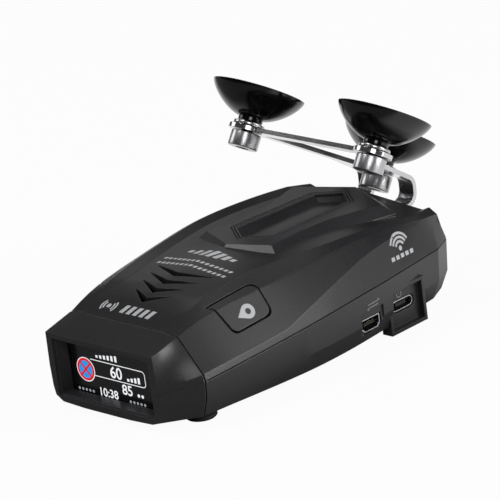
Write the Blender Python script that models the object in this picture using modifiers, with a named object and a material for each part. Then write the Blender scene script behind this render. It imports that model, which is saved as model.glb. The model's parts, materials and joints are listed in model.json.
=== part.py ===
"""Windscreen radar detector with a hooded display, two side buttons and a steel suction mount.

Run with: blender --background --python part.py
Metres, +Z up. The display looks along -Y and the road side is +Y. The object stands on its
rubber feet at Z = 0, and the origin is under the middle of its bounding box.

Lengths along the case are measured backwards from the hood's face, and heights upwards from
the case's flat underside. place() turns them into world coordinates.
"""

from math import asin, atan2, cos, hypot, pi, radians, sin

import bmesh
import bpy
from mathutils import Matrix, Vector

MM = 0.001

# Fits
FIT = 0.3 * MM            # gap between pieces that touch
BUTTON_FIT = 0.5 * MM     # running gap round a button
SLIDE_FIT = 0.3 * MM      # running gap round the mount's tongues
OVERSHOOT = 4.0 * MM      # how far a cutter runs past what it cuts

# Case, seen from above
CASE_LENGTH = 114.2 * MM
CASE_WIDTH = 68.0 * MM          # widest place, on the split line
SEAM_WIDTH = 59.2 * MM          # on the split line, where the hood meets the case
REAR_WIDTH = 56.6 * MM          # on the split line, at the rear wall
WIDEST_AT = 0.44                # share of the case's length behind the seam
CREST_SEAM_WIDTH = 33.0 * MM    # flat top between the crests, at the seam
CREST_NECK_WIDTH = 38.6 * MM    # behind the chevrons
CREST_MID_WIDTH = 48.8 * MM
CREST_REAR_WIDTH = 52.0 * MM
CREASE_SEAM_WIDTH = 41.8 * MM   # between the creases where top turns into shoulder
CREASE_MID_WIDTH = 54.6 * MM
CREASE_REAR_WIDTH = 53.6 * MM
TAIL_LENGTH = 7.6 * MM          # the rear corners are cut off over this length
TAIL_INSET = 2.7 * MM           # and by this much on each side
WALL = 1.8 * MM

# Case, seen from the side
SEAM_TOP = 24.1 * MM            # top of the case at the seam
CREST_TOP = 31.2 * MM           # highest place of the crests
CREST_REAR_TOP = 26.6 * MM
CREST_AT = 0.42                 # share of the case's length behind the seam
CROWN_FRONT = 0.3 * MM          # middle of the top above the crests, before the platform
CROWN_MID = -0.7 * MM           # under the platform
CROWN_REAR = 0.9 * MM           # at the rear
CREASE_SEAM_DROP = 0.6 * MM     # how far the crease lies below the crest
CREASE_NECK_DROP = 3.0 * MM
CREASE_MID_DROP = 1.3 * MM
CREASE_REAR_DROP = 1.9 * MM
SPLIT_SEAM_HEIGHT = 12.0 * MM   # line where the two shells meet
SPLIT_REAR_HEIGHT = 16.4 * MM
SPLIT_GAP = 0.3 * MM
LIP_HEIGHT = 2.0 * MM           # upright band above the split line
LIP_TAPER = 0.25                # how far the upright band leans in, per unit of height
SIDE_WALL_FOOT = 6.8 * MM       # where the lower wall turns into the hull's chamfer
HULL_EDGE_HEIGHT = 1.4 * MM
HULL_EDGE_INSET = 2.4 * MM
UNDERSIDE_INSET = 7.0 * MM
REAR_TOP_INSET = 3.2 * MM       # the rear wall leans forward by this much at the top
REAR_FOOT_INSET = 2.4 * MM
REAR_BOW = 0.5 * MM
CHANNEL_DEPTH = 1.3 * MM        # of the channels along the crests
CHANNEL_SLOPE = 3.0 * MM        # width of the channel's outer slope

# Raised platform with the stepped pocket
PLATFORM_TIP = 52.3 * MM        # front point of its V
PLATFORM_VEE = 5.2 * MM         # how far the V's ends lie behind its point
PLATFORM_LENGTH = 53.6 * MM
PLATFORM_FRONT_WIDTH = 25.6 * MM
PLATFORM_WAIST_WIDTH = 23.8 * MM
PLATFORM_REAR_WIDTH = 34.4 * MM
PLATFORM_REAR_VEE = 8.0 * MM
PLATFORM_RISE = 0.7 * MM        # step at the front point
PLATFORM_FALL = 1.3 * MM        # how much lower its rear end is
PLATFORM_WALL_RUN = 3.4 * MM    # how far its walls lean out
PLATFORM_REAR_RUN = 4.2 * MM    # and its rear wall
PLATFORM_WALL_DROP = 3.0 * MM   # over this height
PLATFORM_ROOT = 2.0 * MM        # below that it goes straight down into the shell
POCKET_INSET = 4.5 * MM         # platform point to pocket point
POCKET_LENGTH = 45.7 * MM
POCKET_FRONT_WIDTH = 18.0 * MM
POCKET_REAR_WIDTH = 17.0 * MM
POCKET_VEE = 6.4 * MM
POCKET_STEP = 0.45 * MM         # depth of each terrace
POCKET_TERRACE = 1.1 * MM       # width of each terrace
POCKET_TERRACES = 2
POCKET_BOWL = 1.3 * MM          # extra depth of the inner bowl
POCKET_BOWL_RUN = 1.6 * MM      # width of the bowl's sloping sides

# Sound slots
CHEVRON_COUNT = 4
CHEVRON_FIRST = 18.1 * MM       # point of the front one
CHEVRON_PITCH = 4.33 * MM
CHEVRON_HALF_WIDTH = 7.1 * MM   # half width of the front one
CHEVRON_GROWTH = 1.3 * MM       # each one is this much wider to each side
CHEVRON_SWEEP = 4.7 * MM        # ends lie this far behind the point
CHEVRON_STROKE = 2.2 * MM       # width at the point

# Hood round the display
HOOD_DEPTH = 10.1 * MM
SEAM_GAP = 0.5 * MM
HOOD_TOP = 21.2 * MM
HOOD_WIDTH = 42.4 * MM
HOOD_FOOT_WIDTH = 39.8 * MM
HOOD_CORNER = 4.0 * MM          # cut-off lower corners of the face
OPENING_WIDTH = 37.4 * MM
OPENING_LOW = 2.8 * MM
OPENING_HIGH = 19.4 * MM
OPENING_STEP = 0.6 * MM         # rebate round the opening's front edge
SCREEN_WIDTH = 33.6 * MM
SCREEN_LOW = 3.4 * MM
SCREEN_HIGH = 18.4 * MM
SCREEN_DEPTH = 4.2 * MM         # face of the pane behind the hood's face
PANE_THICKNESS = 1.0 * MM
PANE_MARGIN = 1.0 * MM          # the pane's edge behind the recess
PANEL_THICKNESS = 2.4 * MM

# Buttons, let into the shoulders across the crease
BUTTON_MIDDLE = 30.9 * MM       # along the case
BUTTON_TILT = radians(45.0)     # of the direction that it is pressed in, from straight down
BUTTON_LENGTH = 15.9 * MM
BUTTON_ABOVE = 1.9 * MM         # reach above the crease
BUTTON_BELOW = 7.9 * MM         # reach below the crease
BUTTON_NOSE = 2.4 * MM          # how far the lower front corner is cut away
BUTTON_CORNER = 2.2 * MM
BUTTON_TRAVEL = 0.5 * MM
BUTTON_FLANGE = 1.0 * MM        # thickness and reach of the flange that keeps it in
BUTTON_DEPTH = 5.0 * MM         # top of the flange below the crease
SWITCH_SIDE = 6.0 * MM
SWITCH_HEIGHT = 3.2 * MM
SWITCH_STEM_RADIUS = 1.6 * MM
SWITCH_STEM_HEIGHT = 0.8 * MM
SHELF_THICKNESS = 1.4 * MM

# Board and what stands on it
BOARD_THICKNESS = 1.2 * MM
BOARD_HEIGHT = 2.5 * MM         # its underside
BOARD_FRONT = 14.0 * MM
BOARD_LENGTH = 90.0 * MM
BOARD_MARGIN = 10.0 * MM        # its long edges inside the case's widest place
HORN_FRONT = 74.0 * MM
HORN_LENGTH = 31.0 * MM
HORN_THROAT_WIDTH = 12.0 * MM
HORN_THROAT_HEIGHT = 8.0 * MM
HORN_MOUTH_WIDTH = 28.0 * MM
HORN_MOUTH_HEIGHT = 13.0 * MM
HORN_WALL = 1.2 * MM
CAN_LENGTH = 9.0 * MM
CAN_WIDTH = 24.0 * MM
CAN_HEIGHT = 4.0 * MM
ANTENNA_SIDE = 16.0 * MM
ANTENNA_HEIGHT = 4.2 * MM
ANTENNA_MIDDLE = 52.0 * MM
SPEAKER_RADIUS = 12.5 * MM
SPEAKER_HEIGHT = 6.0 * MM
SPEAKER_MIDDLE = 27.5 * MM
SPEAKER_TOP = 20.0 * MM
SPEAKER_RING_WALL = 1.6 * MM
LASER_X = -19.2 * MM
LASER_HEIGHT = 9.6 * MM
LASER_LENS_RADIUS = 3.6 * MM
LASER_LENS_LENGTH = 9.0 * MM
LASER_SENSOR_SIDE = 6.0 * MM
LASER_SENSOR_DEPTH = 3.0 * MM
LASER_LENS_REAR = 107.0 * MM
REAR_LENS_WIDTH = 8.4 * MM
REAR_LENS_HEIGHT = 8.0 * MM

# Sockets in the right wall
DATA_MIDDLE = 73.8 * MM
DATA_LENGTH = 7.7 * MM
DATA_HEIGHT = 3.9 * MM
DATA_BEVEL = 1.1 * MM           # lower corners of the trapezoid
DATA_DEPTH = 8.0 * MM
DATA_RECESS_LENGTH = 10.0 * MM
DATA_RECESS_TOP = 10.3 * MM
DATA_RECESS_DEPTH = 1.5 * MM
SOCKET_PITCH = 16.2 * MM        # middle of the data socket to middle of the power socket
POWER_LENGTH = 8.9 * MM
POWER_HEIGHT = 3.2 * MM
POWER_DEPTH = 7.5 * MM
POWER_RECESS_LENGTH = 13.0 * MM
POWER_RECESS_TOP = 10.9 * MM
POWER_RECESS_DEPTH = 1.9 * MM
POWER_FRAME = 1.0 * MM          # wall of the proud boss round the recess
POWER_DROP = 1.4 * MM           # the boss reaches this far below the underside
SOCKET_WALL = 0.35 * MM
TONGUE_THICKNESS = 0.9 * MM

# Feet and screws
FOOT_RADIUS = 4.5 * MM
FOOT_HEIGHT = 1.5 * MM
FOOT_INSET = 13.5 * MM          # middle of a foot inside the case's widest place
FOOT_FRONT = 15.5 * MM
FOOT_REAR = 100.0 * MM
SCREW_RADIUS = 1.1 * MM
SCREW_HEAD_RADIUS = 2.0 * MM
SCREW_HEAD_HEIGHT = 1.3 * MM
SCREW_LENGTH = 13.0 * MM
SCREW_INSET = 16.0 * MM         # likewise for a screw
SCREW_FRONT = 46.0 * MM
SCREW_REAR = 80.0 * MM
POST_RADIUS = 2.7 * MM

# Suction mount
MOUNT_TILT = radians(34.0)      # of the plate, down towards the rear
PLATE_THICKNESS = 1.3 * MM
PLATE_FRONT = 89.8 * MM         # line through the front pair of cups
PLATE_HEIGHT = 50.2 * MM        # of that line
CUP_SPREAD = 49.0 * MM          # between the front pair
CUP_STAGGER = 32.0 * MM         # from that line to the rear cup, along the plate
STRIP_WIDTH = 5.0 * MM
PAD_RADIUS = 5.6 * MM
LEG_SPREAD = 16.0 * MM
LEG_WIDTH = 5.6 * MM
LEG_OVERHANG = 2.7 * MM         # the legs hang this far behind the rear cup's middle
LEG_BEND = 3.4 * MM             # mean radius of each bend
LEG_NOTCH = 0.6 * MM            # slit between a leg and the rear pad
TONGUE_HEIGHT = 23.4 * MM       # of the tongues that slide into the case
TONGUE_FRONT = 97.5 * MM
SLEEVE_WALL = 1.4 * MM
SLEEVE_DEPTH = 10.0 * MM
CUP_RADIUS = 13.6 * MM
CUP_HEIGHT = 9.6 * MM
CUP_WALL = 1.3 * MM
CUP_NECK_RADIUS = 3.6 * MM
CUP_NECK_HEIGHT = 1.1 * MM
CUP_LIP = 0.8 * MM
CUP_FULLNESS = 1.38             # above 1 the cup's side is flatter than a quarter ellipse
STEM_RADIUS = 1.7 * MM
STEM_HOLE_FIT = 0.4 * MM
WASHER_RADIUS = 4.6 * MM
WASHER_THICKNESS = 1.0 * MM
KNOB_RADIUS = 4.4 * MM
KNOB_HEIGHT = 4.6 * MM
KNOB_SOCKET = 3.4 * MM
KNOB_EDGE = 0.5 * MM

# Smoothness
CASE_STATIONS = 22
HOOD_STATIONS = 10
ROUND_STEPS = 32
SMALL_STEPS = 16

# Derived frame
SEAM = HOOD_DEPTH + SEAM_GAP
TAIL_SHARE = 1 - TAIL_LENGTH / (CASE_LENGTH - SEAM)
BOARD_WIDTH = CASE_WIDTH - 2 * BOARD_MARGIN
POWER_MIDDLE = DATA_MIDDLE + SOCKET_PITCH
FOOT_X = CASE_WIDTH / 2 - FOOT_INSET
SCREW_X = CASE_WIDTH / 2 - SCREW_INSET
BASE = FOOT_HEIGHT + FIT
PLATE_AXIS = Vector((0.0, cos(MOUNT_TILT), -sin(MOUNT_TILT)))
PLATE_NORMAL = Vector((0.0, sin(MOUNT_TILT), cos(MOUNT_TILT)))
LEG_LINE = PLATE_FRONT + CUP_STAGGER * PLATE_AXIS.y + LEG_OVERHANG
CUP_RISE = PLATE_THICKNESS / 2 + FIT + WASHER_THICKNESS + FIT + CUP_HEIGHT
REACH = PLATE_FRONT + CUP_STAGGER * PLATE_AXIS.y + CUP_RISE * PLATE_NORMAL.y + CUP_RADIUS * PLATE_AXIS.y
MIDDLE = max(REACH, CASE_LENGTH + REAR_BOW) / 2


def place(x, back, up):
    """World point from a sideways place, a length behind the hood's face and a height over the underside."""
    return Vector((x, back - MIDDLE, up + BASE))


def smooth(share, knots):
    """Monotone cubic through a few (share, value) knots."""
    gaps = [(b[0] - a[0], (b[1] - a[1]) / (b[0] - a[0])) for a, b in zip(knots, knots[1:])]
    slopes = [gaps[0][1]]
    for (_, before), (_, after) in zip(gaps, gaps[1:]):
        slopes.append(0.0 if before * after <= 0 else 2 * before * after / (before + after))
    slopes.append(gaps[-1][1])
    for i, (width, _) in enumerate(gaps):
        if share <= knots[i + 1][0] or i == len(gaps) - 1:
            u = (share - knots[i][0]) / width
            low, high = knots[i][1], knots[i + 1][1]
            return (
                low * (1 + 2 * u) * (1 - u) ** 2
                + slopes[i] * width * u * (1 - u) ** 2
                + high * u * u * (3 - 2 * u)
                + slopes[i + 1] * width * u * u * (u - 1)
            )


def ease(share):
    """0 to 1 with flat ends, held outside 0 to 1."""
    u = min(max(share, 0.0), 1.0)
    return u * u * (3 - 2 * u)


# Lines of the case: each is a function of the share of the way from the seam to the rear


def crest_height(share):
    if share < CREST_AT:
        return CREST_TOP - (CREST_TOP - SEAM_TOP) * (1 - share / CREST_AT) ** 2.6
    return CREST_TOP - (CREST_TOP - CREST_REAR_TOP) * ((share - CREST_AT) / (1 - CREST_AT)) ** 2.1


def middle_height(share):
    crown = smooth(share, ((0, 0.0), (0.4, CROWN_FRONT), (0.6, CROWN_MID), (1, CROWN_REAR)))
    return crest_height(share) + crown


def tail_turn(share):
    """0 up to the tail, 1 at the rear."""
    return max(share - TAIL_SHARE, 0.0) / (1 - TAIL_SHARE)


def split_height(share):
    return smooth(share, ((0, SPLIT_SEAM_HEIGHT), (0.6, SPLIT_REAR_HEIGHT), (1, SPLIT_REAR_HEIGHT)))


def split_half_width(share):
    wide = smooth(share, ((0, SEAM_WIDTH / 2), (WIDEST_AT, CASE_WIDTH / 2), (1, REAR_WIDTH / 2)))
    return wide - TAIL_INSET * tail_turn(share)


def section(share):
    """Right half of the case's section, from the middle of the top round to the middle of the underside."""
    top = crest_height(share)
    turn = tail_turn(share)
    crest = smooth(share, ((0, CREST_SEAM_WIDTH / 2), (0.3, CREST_NECK_WIDTH / 2), (0.6, CREST_MID_WIDTH / 2),
                           (1, CREST_REAR_WIDTH / 2))) - TAIL_INSET * turn
    crease = smooth(share, ((0, CREASE_SEAM_WIDTH / 2), (0.6, CREASE_MID_WIDTH / 2),
                            (1, CREASE_REAR_WIDTH / 2))) - TAIL_INSET / 2 * turn
    drop = smooth(share, ((0, CREASE_SEAM_DROP), (0.3, CREASE_NECK_DROP), (0.65, CREASE_MID_DROP),
                          (1, CREASE_REAR_DROP)))
    side = split_half_width(share)
    split = split_height(share)
    sunk = CHANNEL_DEPTH * ease(share / 0.25)
    swept = 1 - (1 - min(max((share - 0.29) / 0.53, 0.0), 1.0)) ** 1.45
    lip = split + LIP_HEIGHT
    lip += (top - drop - LIP_HEIGHT - lip) * swept
    return [
        (0.0, middle_height(share)),
        (crest - CHANNEL_SLOPE, top - sunk),
        (crest, top),
        (crease, top - drop),
        (side - LIP_TAPER * (1 - 0.7 * turn) * (lip - split), lip),
        (side, split),
        (side - HULL_EDGE_INSET / 5, SIDE_WALL_FOOT),
        (side - HULL_EDGE_INSET, HULL_EDGE_HEIGHT),
        (side - UNDERSIDE_INSET, 0.0),
        ((side - UNDERSIDE_INSET) / 2, 0.0),
        (0.0, 0.0),
    ]


def line_ends():
    """Where each line of section() ends at the rear: the rear wall leans in above and below the split line."""
    split = split_height(1.0)
    ends = []
    for i, (_, up) in enumerate(section(1.0)):
        lean = REAR_TOP_INSET * max(up / split - 1, 0.0) / (CREST_REAR_TOP / split - 1)
        tuck = REAR_FOOT_INSET * max(1 - up / split, 0.0) ** 3
        ends.append(CASE_LENGTH - lean - tuck)
    return ends


# Modelling helpers


def collection(name):
    found = bpy.data.collections.new(name)
    bpy.context.scene.collection.children.link(found)
    return found


def add_object(name, mesh, group):
    thing = bpy.data.objects.new(name, mesh)
    group.objects.link(thing)
    return thing


def from_bmesh(name, shape, group, wound=False):
    """Object from a bmesh; its faces are turned outwards unless they are wound that way already."""
    if not wound:
        bmesh.ops.recalc_face_normals(shape, faces=shape.faces)
    mesh = bpy.data.meshes.new(name)
    shape.to_mesh(mesh)
    shape.free()
    return add_object(name, mesh, group)


def settle(thing):
    """Apply an object's modifiers."""
    graph = bpy.context.evaluated_depsgraph_get()
    mesh = bpy.data.meshes.new_from_object(thing.evaluated_get(graph))
    thing.modifiers.clear()
    thing.data = mesh
    return thing


def tool(thing):
    """Mark an object as a cutter or guide."""
    thing.hide_render = True
    thing.display_type = "WIRE"
    return thing


def boolean(thing, operation, other):
    step = thing.modifiers.new(f"{operation.lower()} {other.name}", "BOOLEAN")
    step.operation = operation
    step.solver = "EXACT"
    step.object = tool(other)


def cut(thing, *others):
    for other in others:
        boolean(thing, "DIFFERENCE", other)


def join(thing, *others):
    for other in others:
        boolean(thing, "UNION", other)


def box(name, group, low, high):
    """Box between two corners given as (x, back, up)."""
    a, b = place(*low), place(*high)
    shape = bmesh.new()
    bmesh.ops.create_cube(shape, size=1.0)
    bmesh.ops.scale(shape, vec=b - a, verts=shape.verts)
    bmesh.ops.translate(shape, vec=(a + b) / 2, verts=shape.verts)
    return from_bmesh(name, shape, group)


def cylinder(name, group, radius, foot, top, steps=SMALL_STEPS):
    """Cylinder between two world points."""
    shape = bmesh.new()
    along = top - foot
    turn = along.to_track_quat("Z", "Y").to_matrix().to_4x4()
    bmesh.ops.create_cone(
        shape,
        cap_ends=True,
        segments=steps,
        radius1=radius,
        radius2=radius,
        depth=along.length,
        matrix=Matrix.Translation((foot + top) / 2) @ turn,
    )
    return from_bmesh(name, shape, group)


def loft(name, group, rings):
    """Closed body through rings of as many points each, capped at both ends."""
    shape = bmesh.new()
    rows = [[shape.verts.new(point) for point in ring] for ring in rings]
    for near, far in zip(rows, rows[1:]):
        for i in range(len(near)):
            j = (i + 1) % len(near)
            shape.faces.new((near[i], near[j], far[j], far[i]))
    shape.faces.new(rows[0])
    shape.faces.new(rows[-1])
    shape.normal_update()
    bmesh.ops.triangulate(shape, faces=shape.faces)
    return from_bmesh(name, shape, group)


def turned(name, group, profile, frame, steps):
    """Profile of (radius, height) points turned about the Z axis of frame, listed down the outer side."""
    mesh = bpy.data.meshes.new(name)
    points = [(radius, 0.0, up) for radius, up in profile]
    mesh.from_pydata(points, [(i, i + 1) for i in range(len(points) - 1)], [])
    thing = add_object(name, mesh, group)
    screw = thing.modifiers.new("turn", "SCREW")
    screw.steps = screw.render_steps = steps
    screw.use_merge_vertices = True
    screw.merge_threshold = 0.01 * MM
    thing.matrix_world = frame
    return thing


def shade(thing, angle=30.0):
    thing.data.shade_smooth()
    thing.data.set_sharp_from_angle(angle=radians(angle))


def material(thing, colour, roughness, metallic=0.0):
    finish = bpy.data.materials.new(thing.name)
    finish.use_nodes = True
    shader = finish.node_tree.nodes["Principled BSDF"]
    shader.inputs["Base Color"].default_value = (*colour, 1.0)
    shader.inputs["Roughness"].default_value = roughness
    shader.inputs["Metallic"].default_value = metallic
    thing.data.materials.clear()
    thing.data.materials.append(finish)


BLACK = (0.022, 0.022, 0.024)
RUBBER = (0.012, 0.012, 0.013)
STEEL = (0.62, 0.62, 0.63)
BOARD_GREEN = (0.02, 0.10, 0.05)
CERAMIC = (0.55, 0.48, 0.36)
SMOKE = (0.02, 0.012, 0.014)
GLASS = (0.01, 0.01, 0.012)


# Case


def inset_line(points, inset):
    """Half section moved inwards by inset; its two ends stay on the middle line."""
    normals = []
    for (x, up), (nx, nup) in zip(points, points[1:]):
        length = hypot(nx - x, nup - up)
        normals.append(Vector(((nup - up) / length, (x - nx) / length)))
    moved = [Vector((0.0, points[0][1] + inset / normals[0].y))]
    for point, before, after in zip(points[1:-1], normals, normals[1:]):
        both = (before + after).normalized()
        moved.append(Vector(point) + both * inset / both.dot(before))
    moved.append(Vector((0.0, points[-1][1] + inset / normals[-1].y)))
    return [(x, up) for x, up in moved]


def stations():
    """Shares of the hull's rows, even up to the tail; the bend where the tail starts is a row of its own."""
    even = [TAIL_SHARE * i / CASE_STATIONS for i in range(CASE_STATIONS + 1)]
    return even + [(TAIL_SHARE + 1) / 2, 1.0]


def hull_rows(inset):
    """Half sections from the seam to the rear; an inset hull starts ahead of the seam, so that it cuts through."""
    ends = line_ends()
    rows = []
    for share in stations():
        line = inset_line(section(share), inset)
        start = SEAM - OVERSHOOT if inset and not share else SEAM
        rows.append([place(x, start + (end - inset - start) * share, up) for (x, up), end in zip(line, ends)])
    return rows


def hull(name, group, inset=0.0):
    """Closed body of the case's outer form, or of the form inset within it."""
    shape = bmesh.new()
    rows = [[shape.verts.new(point) for point in row] for row in hull_rows(inset)]
    for near, far in zip(rows, rows[1:]):
        for a, b, c, d in zip(near, near[1:], far[1:], far):
            shape.faces.new((a, b, c, d))
    last = rows[-1]
    half = len(last) // 2
    upper, lower = last[: half + 1], last[half:][::-1]
    side = last[half].co
    middle = []
    for over, under in zip(upper[:-1], lower[:-1]):
        x = (over.co.x + under.co.x) / 2
        bow = REAR_BOW * (1 - (x / side.x) ** 2)
        middle.append(shape.verts.new((x, side.y + bow, side.z)))
    middle.append(last[half])
    for row, turn in ((upper, 1), (lower, -1)):
        for a, b, c, d in zip(row, row[1:], middle[1:], middle):
            corners = (a, b, c, d) if c is not b else (a, b, d)
            shape.faces.new(corners[::turn])
    shape.faces.new(rows[0][::-1])
    shape.normal_update()
    bmesh.ops.triangulate(shape, faces=shape.faces)
    thing = from_bmesh(name, shape, group, wound=True)
    mirror = thing.modifiers.new("mirror", "MIRROR")
    mirror.merge_threshold = 0.01 * MM
    return tool(settle(thing))


def knife(name, group, offset, toward):
    """Body that removes all of the case above (toward 1) or below (toward -1) the split line."""
    wide = CASE_WIDTH / 2 + OVERSHOOT
    far = split_height(1.0) + toward * (CREST_TOP + 2 * OVERSHOOT)
    end = CASE_LENGTH + REAR_BOW
    outline = [(SEAM - OVERSHOOT, split_height(0.0))]
    outline += [(SEAM + (CASE_LENGTH - SEAM) * share, split_height(share)) for share in stations()]
    outline += [(end + OVERSHOOT, split_height(1.0))]
    ring = [(back, up + offset) for back, up in outline]
    ring += [(end + OVERSHOOT, far), (SEAM - OVERSHOOT, far)]
    return loft(name, group, [[place(x, back, up) for back, up in ring] for x in (-wide, wide)])


def share_at(back):
    return (back - SEAM) / (CASE_LENGTH - SEAM)


def platform_top(back):
    along = (back - PLATFORM_TIP) / PLATFORM_LENGTH
    return middle_height(share_at(PLATFORM_TIP)) + PLATFORM_RISE - PLATFORM_FALL * along


def platform_outline(run, rear_run):
    """Right half of the platform's outline, front point first, grown by run at the sides and rear_run behind."""
    tip, end = PLATFORM_TIP, PLATFORM_TIP + PLATFORM_LENGTH
    long = PLATFORM_LENGTH - PLATFORM_VEE - PLATFORM_REAR_VEE
    half = [
        (0.0, tip - run),
        (PLATFORM_FRONT_WIDTH / 2 + run, tip + PLATFORM_VEE - run / 2),
        (PLATFORM_WAIST_WIDTH / 2 + run, tip + PLATFORM_VEE + long * 0.3),
        (PLATFORM_WAIST_WIDTH / 2 + run + (PLATFORM_REAR_WIDTH - PLATFORM_WAIST_WIDTH) * 0.05,
         tip + PLATFORM_VEE + long * 0.6),
        (PLATFORM_REAR_WIDTH / 2 + run, end - PLATFORM_REAR_VEE + rear_run / 2),
        (0.0, end + rear_run),
    ]
    return half


def both_sides(half):
    """Full outline from a right half that starts and ends on the middle line."""
    return half + [(-x, back) for x, back in half[-2:0:-1]]


def platform(group):
    foot = both_sides(platform_outline(PLATFORM_WALL_RUN, PLATFORM_REAR_RUN))
    top = both_sides(platform_outline(0.0, 0.0))
    return loft("platform", group, [
        [place(x, back, platform_top(back) - PLATFORM_WALL_DROP - PLATFORM_ROOT) for x, back in foot],
        [place(x, back, platform_top(back) - PLATFORM_WALL_DROP) for x, back in foot],
        [place(x, back, platform_top(back)) for x, back in top],
    ])


def pocket_outline(inset):
    tip = PLATFORM_TIP + POCKET_INSET + inset
    end = PLATFORM_TIP + POCKET_INSET + POCKET_LENGTH - inset
    vee = POCKET_VEE
    return both_sides([
        (0.0, tip),
        (POCKET_FRONT_WIDTH / 2 - inset, tip + vee * (1 - 2 * inset / POCKET_FRONT_WIDTH)),
        (POCKET_REAR_WIDTH / 2 - inset, end - vee * (1 - 2 * inset / POCKET_REAR_WIDTH)),
        (0.0, end),
    ])


def pocket_cutters(group):
    """Two terraces and a bowl with sloping sides, all following the platform's top."""
    def ring(inset, depth):
        return [place(x, back, platform_top(back) - depth) for x, back in pocket_outline(inset)]
    tools = []
    for step in range(POCKET_TERRACES):
        inset = POCKET_TERRACE * step
        depth = POCKET_STEP * (step + 1)
        tools.append(loft(f"terrace_{step + 1}", group, [ring(inset, -OVERSHOOT), ring(inset, depth)]))
    inset = POCKET_TERRACE * POCKET_TERRACES
    depth = POCKET_STEP * POCKET_TERRACES
    lead = POCKET_STEP / POCKET_BOWL
    tools.append(loft("bowl", group, [
        ring(inset - POCKET_BOWL_RUN * lead, depth - POCKET_BOWL * lead),
        ring(inset + POCKET_BOWL_RUN, depth + POCKET_BOWL)]))
    return tools


def chevron_cutters(group):
    tools = []
    for i in range(CHEVRON_COUNT):
        tip = CHEVRON_FIRST + CHEVRON_PITCH * i
        half = CHEVRON_HALF_WIDTH + CHEVRON_GROWTH * i
        blunt = CHEVRON_STROKE / 8
        outline = both_sides([
            (0.0, tip),
            (half, tip + CHEVRON_SWEEP),
            (half - blunt, tip + CHEVRON_SWEEP + blunt),
            (0.0, tip + CHEVRON_STROKE),
        ])
        tools.append(loft(f"chevron_{i + 1}", group, [
            [place(x, back, SEAM_TOP - WALL - OVERSHOOT) for x, back in outline],
            [place(x, back, CREST_TOP + OVERSHOOT) for x, back in outline],
        ]))
    return tools


def button_frame(side):
    """Button's own axes: X along the case, Y down the shoulder, Z out along the press direction."""
    share = share_at(BUTTON_MIDDLE)
    x, up = section(share)[3]
    out = Vector((side * sin(BUTTON_TILT), 0.0, cos(BUTTON_TILT)))
    down = Vector((side * cos(BUTTON_TILT), 0.0, -sin(BUTTON_TILT)))
    along = down.cross(out)
    frame = Matrix((along, down, out)).transposed().to_4x4()
    frame.translation = place(side * x, BUTTON_MIDDLE, up)
    return frame, along.y


def button_outline(grow, along_sign):
    """Rounded outline across the crease; its front end narrows to a nose on the flat strip."""
    front, rear = -BUTTON_LENGTH / 2 - grow, BUTTON_LENGTH / 2 + grow
    high, low = -BUTTON_ABOVE - grow, BUTTON_BELOW + grow
    corner = BUTTON_CORNER
    points = [(front, high)]
    points += arc((rear - corner, high + corner), corner, -90, 0)
    points += arc((rear - corner, low - corner), corner, 0, 90)
    points += arc((front + BUTTON_NOSE + corner, low - corner), corner, 90, 160)
    points += [(front + BUTTON_NOSE / 2, 0.0)]
    return [(along_sign * a, b) for a, b in points]


def arc(centre, radius, start, end, steps=4):
    turns = [radians(start + (end - start) * i / steps) for i in range(steps + 1)]
    return [(centre[0] + radius * cos(t), centre[1] + radius * sin(t)) for t in turns]


def button_plug(name, group, side, grow, low, high):
    frame, along_sign = button_frame(side)
    outline = button_outline(grow, along_sign)
    return loft(name, group, [[frame @ Vector((a, b, level)) for a, b in outline] for level in (low, high)])


def button_shelf(group, side, core):
    """U-shaped shelf behind the button: it carries the switch on two posts that grow out of the shell."""
    frame, _ = button_frame(side)
    top = shelf_level()
    low = top - SHELF_THICKNESS
    reach = BUTTON_LENGTH / 2 + BUTTON_FLANGE + BUTTON_TRAVEL + FIT
    far = reach + 1.6 * SHELF_THICKNESS
    outline = [(-far, OVERSHOOT), (-far, low), (far, low), (far, OVERSHOOT),
               (reach, OVERSHOOT), (reach, top), (-reach, top), (-reach, OVERSHOOT)]
    shelf = loft(f"shelf_{side}", group, [
        [frame @ Vector((a, BUTTON_CORNER + half, level)) for a, level in outline]
        for half in (-SWITCH_SIDE / 2, SWITCH_SIDE / 2)])
    boolean(shelf, "INTERSECT", core)
    return settle(shelf)


def shelf_level():
    """Height of the switch shelf on the button's own out axis, which is negative inside the case."""
    flange_foot = BUTTON_DEPTH + BUTTON_FLANGE
    return -(flange_foot + BUTTON_TRAVEL + FIT + SWITCH_STEM_HEIGHT + SWITCH_HEIGHT + FIT)


def screw_places():
    return [(side * SCREW_X, back) for back in (SCREW_FRONT, SCREW_REAR) for side in (-1, 1)]


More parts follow.
